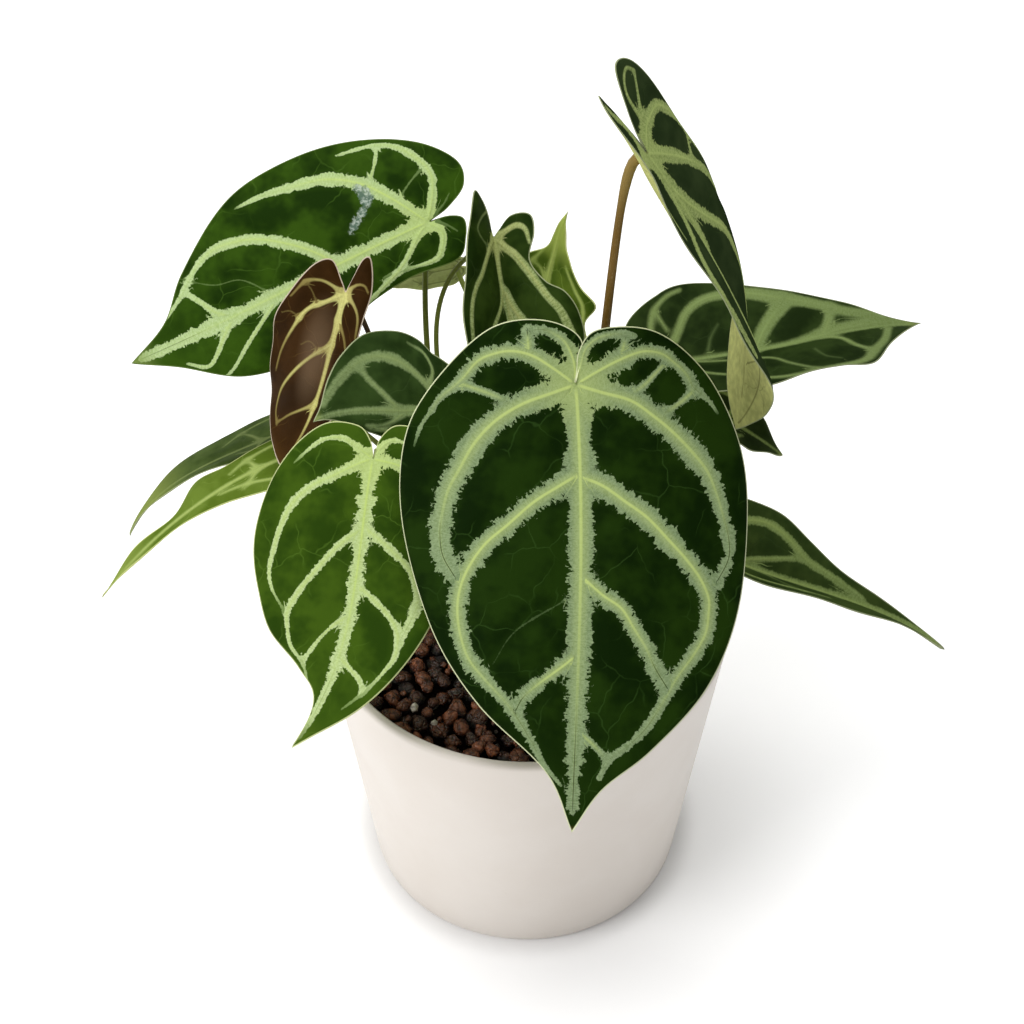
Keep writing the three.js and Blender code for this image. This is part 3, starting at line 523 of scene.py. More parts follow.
def band_share(plane, band, arc, half, look, seed):
    """Where the pale bands lie: clumps and long thin teeth across the vein feather their outline."""
    jag = 0.0
    for along, out, detail, height in ((0.14, 0.10, 2.0, 3.0), (0.42, 0.26, 2.0, 3.8), (1.1, 0.45, 3.0, 4.6)):
        wave = (arc * along).vector(band * out, seed + along).grain(1.0, detail, 0.65) - 0.5
        jag = wave.times_plus(height * look["teeth"], jag)
    jag = (plane.grain(0.9, 4.0, 0.75) - 0.5).times_plus(3.0 * look["teeth"], jag)
    feathered = jag.times_plus(half.ramp(0.2, 3.0, 0.15, 1.0), band)
    return feathered.ramp(look["soft"], -look["soft"]) * half.ramp(0.1, 0.6, 0.3, 1.0)


def net_share(plane):
    """Where the faint net between the veins lies."""
    drift = plane.into("ShaderNodeTexNoise", {"Vector": plane, "Scale": 0.12}, "Color")
    drift = drift.into("ShaderNodeVectorMath", {0: drift, 3: 7.0}, operation="SCALE")
    warped = plane.into("ShaderNodeVectorMath", {0: plane, 1: drift}, operation="ADD")
    cells = warped.into("ShaderNodeTexVoronoi", {"Vector": warped, "Scale": 0.075},
                        feature="DISTANCE_TO_EDGE", voronoi_dimensions="2D")
    return cells.ramp(0.03, 0.0) * plane.grain(0.05, 2.0).ramp(0.42, 0.6)


def lamina_colour(plane, y, band, net, look, length):
    """Broad clouds, brighter along the bands and towards the tip, and the net."""
    lamina = plane.grain(0.06).ramp(0.38, 0.66).blend(look["lamina"], look["glow"])
    lamina = (band.ramp(2.5, 0.0) * 0.25).blend(lamina, look["glow"])
    lamina = y.ramp(0.7 * length, 0.92 * length, 0.0, 0.6).blend(lamina, look["glow"])
    return (net * look["line"]).blend(lamina, look["net"])


def band_colour(plane, strokes, from_stalk, across, fade, half, within, look):
    """Fine strokes across the vein, a yellow-green cord, brighter near the petiole."""
    strokes = strokes.grain(1.0, 4.0, 0.75).times_plus(0.6, plane.grain(1.4, 4.0, 0.7) * 0.4)
    pale = strokes.ramp(0.40, 0.62).blend(look["band"], look["fleck"])
    broad = (across / half).ramp(0.9, 0.1) * 0.35 * fade.ramp(1.0, 0.4)
    warm = from_stalk.ramp(20.0, 2.0) * 0.45
    pale = warm.at_least(broad).blend(pale, look["core"])
    cord = (across / half.times_plus(0.09, 0.14)).ramp(1.5, 0.4) * fade.ramp(0.9, 0.2, 0.2, 1.0)
    cord = cord * (within * half.ramp(1.0, 2.4, 0.2, 1.0))
    bright = tuple(min(255, c * 1.06 + 4) for c in look["core"])
    pale = (cord * look["cord"]).blend(pale, bright)
    crack = across.ramp(0.24, 0.1) * fade.ramp(0.7, 0.9) * half.ramp(0.8, 2.0)
    pale = (crack * (0.7 * look["teeth"])).blend(pale, look["lamina"])
    thin = tuple((a + b) / 2 for a, b in zip(look["net"], look["band"]))
    return half.ramp(0.6, 0.3).blend(pale, thin)


def under_colour(plane, across, band, net, look):
    """The lower face: pale, with the veins drawn thin and darker."""
    lower = plane.grain(0.35, 4.0).ramp(0.3, 0.7).blend(look["under"], shade(look["under"], 0.86))
    line = (across.ramp(0.5, 0.15) * band.ramp(0.5, 0.0)).at_least(net * 0.7)
    return (line * 0.6).blend(lower, shade(look["under"], 0.55))


def blade_material(name, look, length):
    """Leaf tissue: a dark lamina with feathered pale bands along the veins."""
    made, tree = new_material(name)
    x, y, edge, _ = attribute(tree, "plane")
    band, arc, gap, _ = attribute(tree, "veins")
    side, fade, half, _ = attribute(tree, "sheet")
    scar, _, _, _ = attribute(tree, "marks")
    seed = float(length)
    plane = x.vector(y, seed)
    across = gap.maths("ABSOLUTE").at_least(band + (half - 0.8))
    within = fade.ramp(0.0, 0.03) * fade.ramp(1.0, 0.97)
    far_off = band.ramp(1.0, 1.6, 0.0, FAR).at_least(within.ramp(1.0, 0.5, 0.0, FAR))
    band = band.maths("MINIMUM", across - half + far_off)

    on_band = band_share(plane, band, arc, half, look, seed)
    net = net_share(plane)
    lamina = lamina_colour(plane, y, band, net, look, length)
    strokes = (arc * 2.2).vector(band * 0.7, seed)
    pale = band_colour(plane, strokes, x.vector(y).length(), across, fade, half, within, look)
    upper = on_band.blend(lamina, pale)
    torn = (plane.grain(0.5, 4.0, 0.7) - 0.5).times_plus(5.0, scar)
    corky = plane.grain(0.8).ramp(0.4, 0.62).blend((92, 114, 100), (176, 188, 176))
    upper = (torn.ramp(0.5, -0.6) * 0.85).blend(upper, corky)
    # Painted sheen: a lighter patch by the midrib stands in for the lamp's highlight on the blade.
    if "satin" in look:
        upper = satin(x, y, look["satin"]).blend(upper, look["satin_colour"])
    tip_low, tip_high = look["tip_share"]
    upper = (y.ramp(tip_low * length, tip_high * length) * 0.8).blend(upper, look["tip"])

    face = side.ramp(0.45, 0.55).blend(under_colour(plane, across, band, net, look), upper)
    colour = edge.ramp(0.45, 0.2).blend(face, look["margin"])
    pores = plane.grain(3.0, 2.0)
    roughness = pores.times_plus(0.12, on_band.times_plus(0.08, 0.62))
    height = on_band.times_plus(0.25, net.times_plus(-0.6, pores * 0.35))
    return surface(made, colour, roughness, look["shine"], height, 0.5, 0.00025)


def petiole_material(name, low, high, knee):
    """Stalk: one colour at its foot, another above, the knee paler, with fine streaks."""
    made, tree = new_material(name)
    height, turn, knee_share, place = attribute(tree, "stalk")
    streaks = (turn * 14.0).vector(height * 2.5).grain(1.0, 4.0, 0.7)
    freckles = place.grain(60.0, 2.0).ramp(0.58, 0.7)
    colour = height.ramp(0.0, 0.85).blend(low, high)
    colour = (streaks * 0.35).blend(colour, shade(high, 0.7))
    colour = (freckles * 0.25).blend(colour, (210, 206, 160))
    colour = knee_share.blend(colour, knee)
    return surface(made, colour, streaks.times_plus(0.2, 0.36), 0.2, streaks, 0.35, 0.0002)


def ceramic_material():
    """Off-white satin glaze with faint clouds and pin marks."""
    made, tree = new_material("pot_glaze")
    place = node(tree, "ShaderNodeTexCoord", output="Object")
    clouds = place.grain(18.0, 4.0).ramp(0.3, 0.7)
    specks = place.grain(900.0, 2.0).ramp(0.66, 0.74)
    colour = (specks * 0.12).blend(clouds.blend((219, 212, 204), (215, 207, 198)), (196, 184, 168))
    ripple = place.grain(60.0, 2.0).times_plus(0.6, place.grain(500.0, 2.0))
    return surface(made, colour, clouds.times_plus(0.08, 0.36), 0.4, ripple, 0.12, 0.0003)


def nugget_material(name, gloss):
    """Bark and clay: dark lumps of uneven tone, a few of them pale, with painted shade: near-black low on the
    lumps, towards the bed, and in the grooves between facets.
    """
    made, tree = new_material(name)
    tone, pale, crown, _ = attribute(tree, "lump")
    place = node(tree, "ShaderNodeTexCoord", output="Object")
    blotches = place.grain(420.0, 5.0, 0.65).ramp(0.34, 0.68)
    facets = place.into("ShaderNodeTexVoronoi", {"Vector": place, "Scale": 260.0}, feature="DISTANCE_TO_EDGE")
    fine = place.grain(2200.0, 4.0, 0.7)
    dark = tone.blend((22, 10, 6), (84, 38, 20))
    light = tone.blend((88, 50, 32), (196, 118, 80))
    stone = blotches.blend((206, 194, 178), (246, 240, 230))
    colour = pale.blend(blotches.blend(dark, light), stone)
    # Painted shade: the grooves between the facets, sunk by the relief below, are darkened nearly to black.
    colour = facets.ramp(0.12, 0.0, 0.0, 0.35).blend(colour, (10, 5, 3))
    # Painted shade: near-black low on the lumps, near the bed, where the gaps between them lie in shade.
    colour = crown.ramp(0.9, 0.3, 0.0, 0.97).blend(colour, (5, 2, 1))
    roughness = fine.times_plus(0.25, 0.06) + crown.ramp(0.7, 0.2, 0.0, 0.5)
    height = blotches.times_plus(0.6, fine.times_plus(0.5, facets.ramp(0.0, 0.12)))
    return surface(made, colour, roughness, gloss, height, 0.7, 0.0006)


# Meshes

def new_piece(name, places_mm, faces, material, replaced):
    """A smooth mesh in the place of one node of the part; faces with many corners stay flat."""
    mesh = bpy.data.meshes.new(name)
    mesh.from_pydata((np.asarray(places_mm) * MM).tolist(), [], faces)
    mesh.polygons.foreach_set("use_smooth", [len(face) < 5 for face in faces])
    mesh.materials.append(material)
    mesh.update()
    piece = bpy.data.objects.new(name, mesh)
    bpy.context.scene.collection.objects.link(piece)
    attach(piece, "root")
    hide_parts(replaced)
    return piece


def keep_vectors(piece, name, vectors):
    made = piece.data.attributes.new(name, "FLOAT_VECTOR", "POINT")
    made.data.foreach_set("vector", np.asarray(vectors, np.float32).ravel())


def catmull(points, share):
    """The smooth line through given points, at shares 0 to 1 of their row."""
    points = np.asarray(points, float)
    padded = np.vstack([2 * points[0] - points[1], points, 2 * points[-1] - points[-2]])
    place = np.clip(share, 0, 1) * (len(points) - 1)
    i = np.minimum(np.floor(place).astype(int), len(points) - 2)
    f = (place - i)[:, None]
    p0, p1, p2, p3 = (padded[i + k] for k in range(4))
    return 0.5 * (2 * p1 + (p2 - p0) * f + (2 * p0 - 5 * p1 + 4 * p2 - p3) * f ** 2
                  + (3 * p1 - p0 - 3 * p2 + p3) * f ** 3)


def along3(values, t):
    """A value given at the junction, half way and at the tip, or the same all along."""
    values = np.broadcast_to(values, 3)
    u = np.clip(t, 0, 1)
    return values[0] * (1 - u) * (1 - 2 * u) + values[1] * 4 * u * (1 - u) + values[2] * u * (2 * u - 1)


def midrib_frame(leaf, t):
    """Direction of the midrib, of the left half and of the upper face, at shares t of the length."""
    heading = np.radians(along3(leaf["heading"], t))
    droop = np.radians(along3(leaf["droop"], t))
    roll = np.radians(along3(leaf["roll"], t))[..., None]
    forward = np.stack([np.cos(heading) * np.cos(droop), np.sin(heading) * np.cos(droop), -np.sin(droop)], -1)
    level = np.stack([-np.sin(heading), np.cos(heading), 0 * heading], -1)
    upright = np.cross(forward, level)
    left = level * np.cos(roll) + upright * np.sin(roll)
    normal = upright * np.cos(roll) - level * np.sin(roll)
    return forward, left, normal


def midrib_points(leaf):
    behind = round(LOBE_REACH * SPINE_STEPS)
    steps = np.arange(-behind, SPINE_STEPS)
    forward, _, _ = midrib_frame(leaf, np.where(steps < 0, 0, (steps + 0.5) / SPINE_STEPS))
    walked = np.vstack([[0, 0, 0], np.cumsum(forward * leaf["length"] / SPINE_STEPS, axis=0)])
    return walked - walked[behind] + np.array(leaf["junction"], float)


def bent(leaf, half, across, along):
    """Places of one half of the flat blade in space."""
    behind = round(LOBE_REACH * SPINE_STEPS)
    midrib = midrib_points(leaf)
    t = along / leaf["length"]
    place = np.clip(t * SPINE_STEPS, -behind, SPINE_STEPS - 1e-6) + behind
    i = np.floor(place).astype(int)
    f = (place - i)[:, None]
    _, left, normal = midrib_frame(leaf, t)
    width = max(x for x, _ in leaf[half])
    fold, bend = (leaf[key][half] if isinstance(leaf[key], dict) else leaf[key] for key in ("fold", "curl"))
    fold = np.radians(along3(fold, t))
    bend = np.radians(along3(bend, t)) / width
    bend = np.where(np.abs(bend) < 1e-5, 1e-5, bend)
    aside = (np.sin(fold + bend * across) - np.sin(fold)) / bend
    raised = (np.cos(fold) - np.cos(fold + bend * across)) / bend
    sign = 1 if half == "left" else -1
    return (midrib[i] * (1 - f) + midrib[i + 1] * f
            + sign * left * aside[:, None] + normal * raised[:, None])


def nearest_on_line(places, line):
    """Distance of each place from a line of points, with its sign on either side, and
    how far along the line the nearest point is."""
    start = line[:-1]
    step = line[1:] - start
    length = np.linalg.norm(step, axis=1)
    passed = np.concatenate([[0], np.cumsum(length)])
    away = places[:, None, :] - start[None]
    t = np.clip((away * step).sum(-1) / np.maximum(length ** 2, 1e-9), 0, 1)
    offset = away - t[..., None] * step[None]
    gap = np.linalg.norm(offset, axis=-1)
    i = gap.argmin(1)
    row = np.arange(len(places))
    turn = step[i, 0] * offset[row, i, 1] - step[i, 1] * offset[row, i, 0]
    return gap[row, i], np.where(turn < 0, -1, 1), passed[i] + t[row, i] * length[i], passed[-1]


def arching_veins(leaf):
    """Veins by rule for a blade that the photograph shows only in part."""
    veins = [((1.1, 0.5), [(0, 0), (0, leaf["length"] * 0.5), (0, leaf["length"] * 0.96)])]
    for half, sign in (("left", 1), ("right", -1)):
        outline = np.array(leaf[half], float)
        tip_wards = catmull(outline, np.array([0.3, 0.42, 0.54, 0.66, 0.78]))
        shares = np.array([0.45, 0.68, 0.76, 0.74, 0.68])[:, None]
        basal = [(0, 0), *(tip_wards * shares)]
        lobe = [(0, 0), *(catmull(outline, np.array([0.16, 0.27, 0.36])) * np.array([[0.5], [0.72], [0.8]]))]
        start = leaf["length"] * 0.3
        goal = catmull(outline, np.array([0.6]))[0] * (0.7, 0.95)
        lateral = [(0, start), (goal[0] * 0.5, start + (goal[1] - start) * 0.42), tuple(goal)]
        for widths, line in (((1.1, 0.5), basal), ((0.8, 0.4), lobe), ((0.8, 0.4), lateral)):
            veins.append((widths, [(sign * x, y) for x, y in line]))
    return veins


def vein_fields(veins, places):
    """What the veins are at each flat place: how far it lies outside the pale bands,
    where along its vein it lies, its distance from that vein with a sign for the side,
    the share of the vein's length, and half the width of the band."""
    count = len(places)
    band = np.full(count, FAR)
    nearest = np.full(count, FAR)
    arc, gaps, fade, halves = np.zeros(count), np.full(count, FAR), np.zeros(count), np.ones(count)
    for number, (widths, points) in enumerate(veins):
        length = np.linalg.norm(np.diff(np.array(points, float), axis=0), axis=1).sum()
        line = catmull(points, np.linspace(0, 1, max(int(length / VEIN_STEP), len(points))))
        close = ((places > line.min(0) - VEIN_REACH) & (places < line.max(0) + VEIN_REACH)).all(1)
        spot = np.flatnonzero(close)
        if not len(spot):
            continue
        gap, sign, passed, whole = nearest_on_line(places[spot], line)
        share = passed / whole
        half = np.interp(share, np.linspace(0, 1, len(widths)), widths)
        outside = gap - half
        band[spot] = -BAND_BLEND * np.logaddexp(-band[spot] / BAND_BLEND, -outside / BAND_BLEND)
        closer = outside < nearest[spot]
        mine = spot[closer]
        nearest[mine] = outside[closer]
        arc[mine] = passed[closer] + 37.0 * number
        gaps[mine] = (gap * sign)[closer]
        fade[mine] = share[closer]
        halves[mine] = half[closer]
    return band, arc, gaps, fade, halves


def flat_grid(leaf, around, outward):
    """Flat places of both halves, the half of each, its share of the way out, and
    the triangles of the upper face with the steps along the margin."""
    shoulder = SHOULDER / (len(leaf["left"]) - 1)
    u = np.arange(around + 1) / around
    spine = leaf["length"] * np.maximum(0, (u - shoulder) / (1 - shoulder)) ** 1.25
    r = np.arange(outward + 1) / outward
    places, halves, shares, triangles, margins = [], [], [], [], []
    for number, (half, sign) in enumerate((("left", 1), ("right", -1))):
        edge = catmull(leaf[half], u)
        x = sign * edge[:, 0, None] * r[None]
        y = spine[:, None] + (edge[:, 1, None] - spine[:, None]) * r[None]
        offset = number * (around + 1) * (outward + 1)
        places.append(np.stack([x, y], -1).reshape(-1, 2))
        halves.append(np.full(x.size, sign))
        shares.append(np.broadcast_to(r, x.shape).ravel())
        k, j = np.meshgrid(np.arange(around), np.arange(outward), indexing="ij")
        a = offset + k * (outward + 1) + j
        b, c, d = a + 1, a + outward + 2, a + outward + 1
        faces = np.stack([a, d, c, a, c, b], -1).reshape(-1, 3)
        last = offset + np.arange(around) * (outward + 1) + outward
        steps = np.stack([last, last + outward + 1], -1)
        triangles.append(faces if sign > 0 else faces[:, ::-1])
        margins.append(steps if sign > 0 else steps[:, ::-1])
    places = np.vstack(places)
    halves = np.concatenate(halves)
    on_midrib = np.abs(places[:, 0]) < 1e-6
    keys = np.column_stack([np.round(places * 1000), np.where(on_midrib, 0, halves)])
    _, first, merged = np.unique(keys, axis=0, return_index=True, return_inverse=True)
    merged = merged.ravel()
    triangles = merged[np.vstack(triangles)]
    real = ((triangles[:, 0] != triangles[:, 1]) & (triangles[:, 1] != triangles[:, 2])
            & (triangles[:, 2] != triangles[:, 0]))
    return (places[first], halves[first], np.concatenate(shares)[first], triangles[real],
            merged[np.vstack(margins)])


def smooth_step(value, low, high):
    t = np.clip((value - low) / (high - low), 0, 1)
    return t * t * (3 - 2 * t)


def vertex_normals(leaf, places, centre, triangles):
    """Mean direction of the triangles about each place, or the midrib's where they have none."""
    corners = centre[triangles]
    facing = np.cross(corners[:, 1] - corners[:, 0], corners[:, 2] - corners[:, 0])
    normal = np.stack([np.bincount(triangles.ravel(), np.repeat(facing[:, k], 3), len(places))
                       for k in range(3)], -1)
    size = np.linalg.norm(normal, axis=1)[:, None]
    upright = midrib_frame(leaf, places[:, 1] / leaf["length"])[2]
    return np.where(size > 1e-9, normal / np.maximum(size, 1e-9), upright)


def build_blade(leaf):
    """One blade: a thin closed sheet with cords along its veins and a quilted lamina."""
    name = leaf["name"]
    look = {**LOOKS[leaf["look"]], **OWN.get(name, {})}
    places, halves, share, triangles, margin = flat_grid(leaf, *leaf["grid"])
    band, arc, gap, fade, half_band = vein_fields(VEINS.get(name) or arching_veins(leaf), places)
    count = len(places)

    centre = np.zeros((count, 3))
    edge = np.full(count, FAR)
    for half, sign in (("left", 1), ("right", -1)):
        mine = halves == sign
        centre[mine] = bent(leaf, half, sign * places[mine, 0], places[mine, 1])
        rim = catmull(leaf[half], np.linspace(0, 1, 140)) * (sign, 1)
        edge[mine] = np.minimum(edge[mine], nearest_on_line(places[mine], rim)[0])
    edge[np.unique(margin)] = 0
    normal = vertex_normals(leaf, places, centre, triangles)

    inner = smooth_step(edge, 0.0, 3.0)
    quilt = QUILT_HEIGHT * smooth_step(band, 0.0, 7.0) * inner
    cord = CORD_HEIGHT * np.exp(-(gap / (0.2 + 0.2 * half_band)) ** 2) * (1 - 0.6 * fade) * inner
    phase = places[:, 1] / leaf["length"] * 17.0 + halves * 1.1 + leaf["length"]
    ripple = RIPPLE_HEIGHT * share ** 3 * np.sin(phase)
    lifted = centre + normal * (quilt + cord + ripple - RELIEF_SUNK)[:, None]
    half_thick = MARGIN_HALF + (SHEET_HALF - MARGIN_HALF) * smooth_step(edge, 0.0, 1.5)
    upper = lifted + normal * half_thick[:, None]
    lower = lifted - normal * (half_thick + 2.0 * cord)[:, None]

    a, b = margin[:, 0], margin[:, 1]
    faces = np.vstack([triangles, triangles[:, ::-1] + count,
                       np.stack([a, b, b + count], -1), np.stack([a, b + count, a + count], -1)])
    faces = faces[(faces[:, 0] != faces[:, 1]) & (faces[:, 1] != faces[:, 2])]
    material = blade_material(f"leaf_{name}", look, leaf["length"])
    piece = new_piece(f"leaf_{name}", np.vstack([upper, lower]), faces.tolist(), material,
                      f"blade_{name}")
    scar = vein_fields(SCARS.get(name, []), places)[0]
    top = np.ones(count)
    keep_vectors(piece, "plane", np.tile(np.column_stack([places, edge]), (2, 1)))
    keep_vectors(piece, "veins", np.tile(np.column_stack([band, arc, gap]), (2, 1)))
    keep_vectors(piece, "sheet", np.vstack([np.column_stack([k * top, fade, half_band]) for k in (1, 0)]))
    keep_vectors(piece, "marks", np.tile(np.column_stack([scar, 0 * scar, 0 * scar]), (2, 1)))


def bezier(controls, t):
    a, b, c, d = (np.array(p, float) for p in controls)
    t = t[:, None]
    return a * (1 - t) ** 3 + 3 * b * t * (1 - t) ** 2 + 3 * c * t ** 2 * (1 - t) + d * t ** 3


def petiole_line(leaf):
    """Centres of a petiole from its root in the substrate to the blade."""
    foot = leaf["foot"]
    _, _, normal = midrib_frame(leaf, np.array([0.0]))
    junction = np.array(leaf["junction"], float)
    controls = [(*foot, ROOT_TOP), leaf["lean"], junction - normal[0] * leaf["reach"],
                junction - normal[0] * KNEE_GAP]
    fine = bezier(controls, np.linspace(0, 1, 400))
    passed = np.concatenate([[0], np.cumsum(np.linalg.norm(np.diff(fine, axis=0), axis=1))])
    even = np.linspace(0, passed[-1], PETIOLE_RINGS)
    arch = np.stack([np.interp(even, passed, fine[:, k]) for k in range(3)], -1)
    root = [(*foot, ROOT_DEPTH), (*foot, ROOT_DEPTH + 8)]
    return np.vstack([root, arch])


def build_petiole(leaf):
    """One stalk, tapered, with a knee under the blade and a wider foot."""
    name = leaf["name"]
    line = petiole_line(leaf)
    rings = len(line)
    t = np.linspace(0, 1, rings)
    radius = leaf["radius"] * (1 - 0.25 * t)
    radius = radius * (1 + 0.3 * smooth_step(t, 0.86, 0.95) + 0.35 * smooth_step(t, 0.16, 0.0))
    tangent = np.gradient(line, axis=0)
    tangent /= np.linalg.norm(tangent, axis=1)[:, None]
    side = np.array([1.0, 0, 0])
    turns = np.arange(PETIOLE_SIDES) * 2 * math.pi / PETIOLE_SIDES
    places, stalk = [], []
    for i in range(rings):
        side = side - tangent[i] * side.dot(tangent[i])
        side /= np.linalg.norm(side)
        other = np.cross(tangent[i], side)
        groove = 1 - 0.06 * np.cos(turns * 2) ** 2
        ring = np.outer(np.cos(turns) * groove, side) + np.outer(np.sin(turns) * groove, other)
        places.append(line[i] + ring * radius[i])
        knee = float(smooth_step(t[i], 0.84, 0.94))
        stalk.append(np.column_stack([0 * turns + t[i], np.sin(turns), 0 * turns + knee]))
    k = np.arange(PETIOLE_SIDES)
    after = (k + 1) % PETIOLE_SIDES
    quads = np.stack([k, after, after + PETIOLE_SIDES, k + PETIOLE_SIDES], -1)
    faces = np.vstack([quads + i * PETIOLE_SIDES for i in range(rings - 1)]).tolist()
    faces += [k[::-1].tolist(), (k + (rings - 1) * PETIOLE_SIDES).tolist()]
    material = petiole_material(f"stalk_{name}", *leaf["stalk"])
    piece = new_piece(f"stalk_{name}", np.vstack(places), faces, material, f"petiole_{name}")
    keep_vectors(piece, "stalk", np.vstack(stalk))


def outer_radius(z):
    return POT_BASE_RADIUS + (POT_RIM_RADIUS - POT_BASE_RADIUS) * z / POT_HEIGHT


def inner_radius(z):
    return outer_radius(z) - POT_WALL


def turned(profile, sides):
    """Places and faces of a profile turned about +Z, which starts and ends on the axis."""
    ring = np.arange(sides) * 2 * math.pi / sides
    middle = profile[1:-1]
    places = [(0.0, 0.0, profile[0][1]), (0.0, 0.0, profile[-1][1])]
    for radius, z in middle:
        places.extend(zip(radius * np.cos(ring), radius * np.sin(ring), [z] * sides))
    faces = []
    last = 2 + (len(middle) - 1) * sides
    for k in range(sides):
        after = (k + 1) % sides
        faces.append((0, 2 + after, 2 + k))
        faces.append((1, last + k, last + after))
        for i in range(len(middle) - 1):
            a, b = 2 + i * sides, 2 + (i + 1) * sides
            faces.append((a + k, a + after, b + after, b + k))
    return places, faces


def rounded(corner, start, end, radius, steps):
    """Points of a round edge at a corner of a profile, between its two straight sides."""
    corner, start, end = (np.array(p, float) for p in (corner, start, end))
    first = corner + (start - corner) / np.linalg.norm(start - corner) * radius
    last = corner + (end - corner) / np.linalg.norm(end - corner) * radius
    t = np.linspace(0, 1, steps)[:, None]
    return (first * (1 - t) ** 2 + corner * 2 * t * (1 - t) + last * t ** 2).tolist()


def build_pot():
    rim = POT_HEIGHT
    foot = (POT_BASE_RADIUS, 0)
    lip_out = (outer_radius(rim), rim)
    lip_in = (inner_radius(rim), rim)
    well = (inner_radius(POT_FLOOR), POT_FLOOR)
    profile = [
        (0, 0),
        *rounded(foot, (0, 0), lip_out, FOOT_ROUND, 7),
        *[(outer_radius(z), z) for z in range(8, rim - 4, 6)],
        *rounded(lip_out, foot, lip_in, LIP_ROUND, 9),
        *rounded(lip_in, lip_out, well, LIP_INNER_ROUND, 5),
        *rounded(well, lip_in, (0, POT_FLOOR), WELL_ROUND, 5),
        (0, POT_FLOOR),
    ]
    places, faces = turned(profile, POT_SIDES)
    new_piece("pot_body", places, faces, ceramic_material(), "pot")


def nugget_spots(draw, sizes, closeness, tries):
    """Where the nuggets of a packed bed lie, and their sizes."""
    feet = np.array([(*leaf["foot"], leaf["radius"]) for leaf in LEAVES])
    spots = np.zeros((0, 3))
    for _ in range(tries):
        size = draw.uniform(*sizes)
        reach = inner_radius(SUBSTRATE_TOP) - 1.1 * size - 0.5
        distance, angle = reach * math.sqrt(draw.random()), 2 * math.pi * draw.random()
        x, y = distance * math.cos(angle), distance * math.sin(angle)
        clear = (np.hypot(feet[:, 0] - x, feet[:, 1] - y) > size + 1.3 * feet[:, 2] + 0.3).all()
        apart = (np.hypot(spots[:, 0] - x, spots[:, 1] - y) > closeness * (spots[:, 2] + size)).all()
        if clear and apart:
            spots = np.vstack([spots, (x, y, size)])
    return spots


def ball(subdivisions):
    """Places and faces of a unit ball of triangles."""
    made = bmesh.new()
    bmesh.ops.create_icosphere(made, subdivisions=subdivisions, radius=1.0)
    places = np.array([v.co[:] for v in made.verts])
    faces = np.array([[v.index for v in f.verts] for f in made.faces])
    made.free()
    return places, faces


def crumb(draw, directions, centre, size):
    """An angular lump: a ball cut by planes about its centre and drawn out unevenly."""
    planes = draw.normal(size=(NUGGET_PLANES, 3))
    planes /= np.linalg.norm(planes, axis=1)[:, None]
    reach = draw.uniform(0.5, 0.95, NUGGET_PLANES)
    toward = directions @ planes.T
    cut = np.where(toward > 0.2, reach / np.maximum(toward, 0.2), 9.0).min(1)
    radius = (cut ** -16 + 1.0) ** (-1 / 16)
    stretch = draw.uniform(0.85, 1.25, 3) * (1, 1, 0.85)
    return directions * radius[:, None] * stretch * size + centre


def build_nuggets(draw):
    """Nuggets, smaller chips and a few pale grains, one after another in one piece."""
    fine, coarse = ball(2), ball(1)
    places, faces, lumps = [], [], []

    def add(ball_parts, x, y, z, size, tone, pale=0.0):
        directions, triangles = ball_parts
        shaped = crumb(draw, directions, (x, y, z), size)
        faces.append(triangles + sum(len(p) for p in places))
        places.append(shaped)
        # The crown, low near the bed and high at the top, marks where painted shade darkens a lump.
        crown = np.clip((shaped[:, 2] - SUBSTRATE_TOP + 0.5) / 3.5, 0, 1)
        lumps.append(np.column_stack([0 * crown + tone, 0 * crown + pale, crown]))

    for x, y, size in nugget_spots(draw, NUGGET_SIZE, 0.7, NUGGET_TRIES):
        add(fine, x, y, SUBSTRATE_TOP + draw.uniform(-0.6, 2.0), size, draw.random() ** 1.6)
    for x, y, size in nugget_spots(draw, CHIP_SIZE, 1.15, CHIP_TRIES):
        add(coarse, x, y, SUBSTRATE_TOP + draw.uniform(0.2, 2.4), size, draw.random())
    for x, y, size in PALE_GRAINS:
        add(coarse, x, y, SUBSTRATE_TOP + 4.5, size, 1.0, 1.0)
    nuggets = new_piece("nuggets", np.vstack(places), np.vstack(faces).tolist(),
                        nugget_material("bark_and_clay", 0.75), "substrate")
    keep_vectors(nuggets, "lump", np.vstack(lumps))


def build_bed():
    """The bed under the nuggets, down to the pot's floor, painted near-black as the shade between the lumps.
    """
    floor = POT_FLOOR + FIT_GAP
    places, faces = turned([
        (0, floor),
        (inner_radius(floor) - 5 - FIT_GAP, floor),
        (inner_radius(POT_FLOOR + 6) - FIT_GAP, POT_FLOOR + 6),
        (inner_radius(SUBSTRATE_TOP) - FIT_GAP, SUBSTRATE_TOP),
        *[(inner_radius(SUBSTRATE_TOP) * k / 24, SUBSTRATE_TOP) for k in range(23, 0, -1)],
        (0, SUBSTRATE_TOP),
    ], BED_SIDES)
    places = np.array(places)
    top = places[:, 2] > SUBSTRATE_TOP - 0.01
    inside = top & (np.hypot(places[:, 0], places[:, 1]) < inner_radius(SUBSTRATE_TOP) - 2)
    for i in np.flatnonzero(inside):
        places[i, 2] += 0.9 * noise.noise(Vector(places[i]) * 0.35)
    bed = new_piece("bed", places, faces, nugget_material("crumbs_in_painted_shade", 0.03), "substrate")
    # A crown of 0.12 paints the whole bed in the near-black painted shade.
    keep_vectors(bed, "lump", np.tile((0.1, 0.0, 0.12), (len(places), 1)))


# Studio

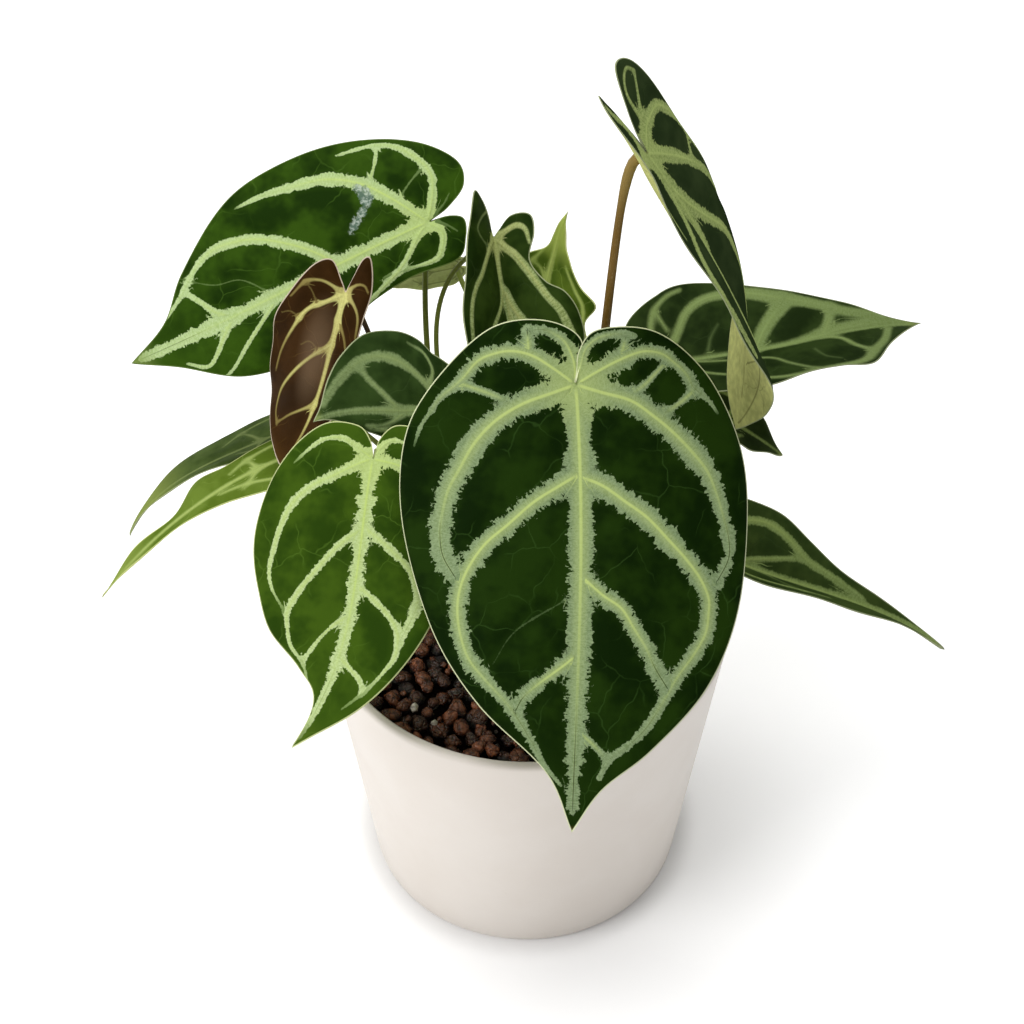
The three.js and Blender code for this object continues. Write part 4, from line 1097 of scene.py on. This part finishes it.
def build_stage():
    mesh = bpy.data.meshes.new("floor")
    corners = [(x * FLOOR_HALF, y * FLOOR_HALF, 0) for x, y in ((-1, -1), (1, -1), (1, 1), (-1, 1))]
    mesh.from_pydata(corners, [], [(0, 1, 2, 3)])
    floor = bpy.data.objects.new("floor", mesh)
    bpy.context.scene.collection.objects.link(floor)
    made, tree = new_material("studio_floor")
    place = node(tree, "ShaderNodeTexCoord", output="Object")
    surface(made, place.grain(4.0, 2.0).blend((247, 247, 248), (250, 250, 250)), 0.9, 0.1)
    glow = tree.nodes["Principled BSDF"].inputs
    glow["Emission Color"].default_value = (1.0, 1.0, 1.0, 1.0)
    # Painted shadow: the floor's even white glow is dimmed about a point right of and in front of the pot,
    # and dimmed most in a ring just around the pot's foot as a painted contact shade.
    painted_shadow_inputs = {0: place, 1: PAINTED_SHADOW_MIDDLE}
    from_painted_shadow = place.into("ShaderNodeVectorMath", painted_shadow_inputs, "Value", operation="DISTANCE")
    painted_foot_shade = place.length().ramp(0.056, 0.066, 0.2, 1.0)
    put(glow["Emission Strength"], from_painted_shadow.ramp(0.030, 0.110, 0.22, 0.36) * painted_foot_shade)
    mesh.materials.append(made)


def area_light(name, place, target, size, power, colour=(1.0, 1.0, 1.0)):
    data = bpy.data.lights.new(name, "AREA")
    data.shape = "DISK"
    data.size = size
    data.energy = power
    data.color = colour
    lamp = bpy.data.objects.new(name, data)
    lamp.location = place
    lamp.rotation_euler = (Vector(target) - Vector(place)).to_track_quat("-Z", "Y").to_euler()
    bpy.context.scene.collection.objects.link(lamp)


def build_light():
    area_light("key", (-1.15, -0.62, 0.85), (0.0, 0.0, 0.12), 0.9, 10.5, (1.0, 0.99, 0.985))
    area_light("top", (-0.1, 0.2, 1.6), (0.0, 0.0, 0.1), 1.3, 17.5)
    world = bpy.data.worlds.new("studio")
    bpy.context.scene.world = world
    world.use_nodes = True
    world.node_tree.nodes["Background"].inputs["Color"].default_value = (1.0, 1.0, 1.0, 1.0)
    world.node_tree.nodes["Background"].inputs["Strength"].default_value = 0.31


def build_camera():
    data = bpy.data.cameras.new("camera")
    data.sensor_width = SENSOR
    data.lens = FOCAL_PIXELS / IMAGE_SIDE * SENSOR
    data.clip_start = 0.05
    data.clip_end = 30
    camera = bpy.data.objects.new("camera", data)
    camera.location = CAMERA_PLACE
    camera.rotation_euler = (math.radians(90 - CAMERA_DOWN), 0, 0)
    bpy.context.scene.collection.objects.link(camera)
    bpy.context.scene.camera = camera


build_camera()
build_light()
build_stage()
build_pot()
build_nuggets(np.random.default_rng(SEED))
build_bed()
for each in LEAVES:
    build_petiole(each)
    build_blade(each)

bpy.context.scene.view_settings.view_transform = "Standard"
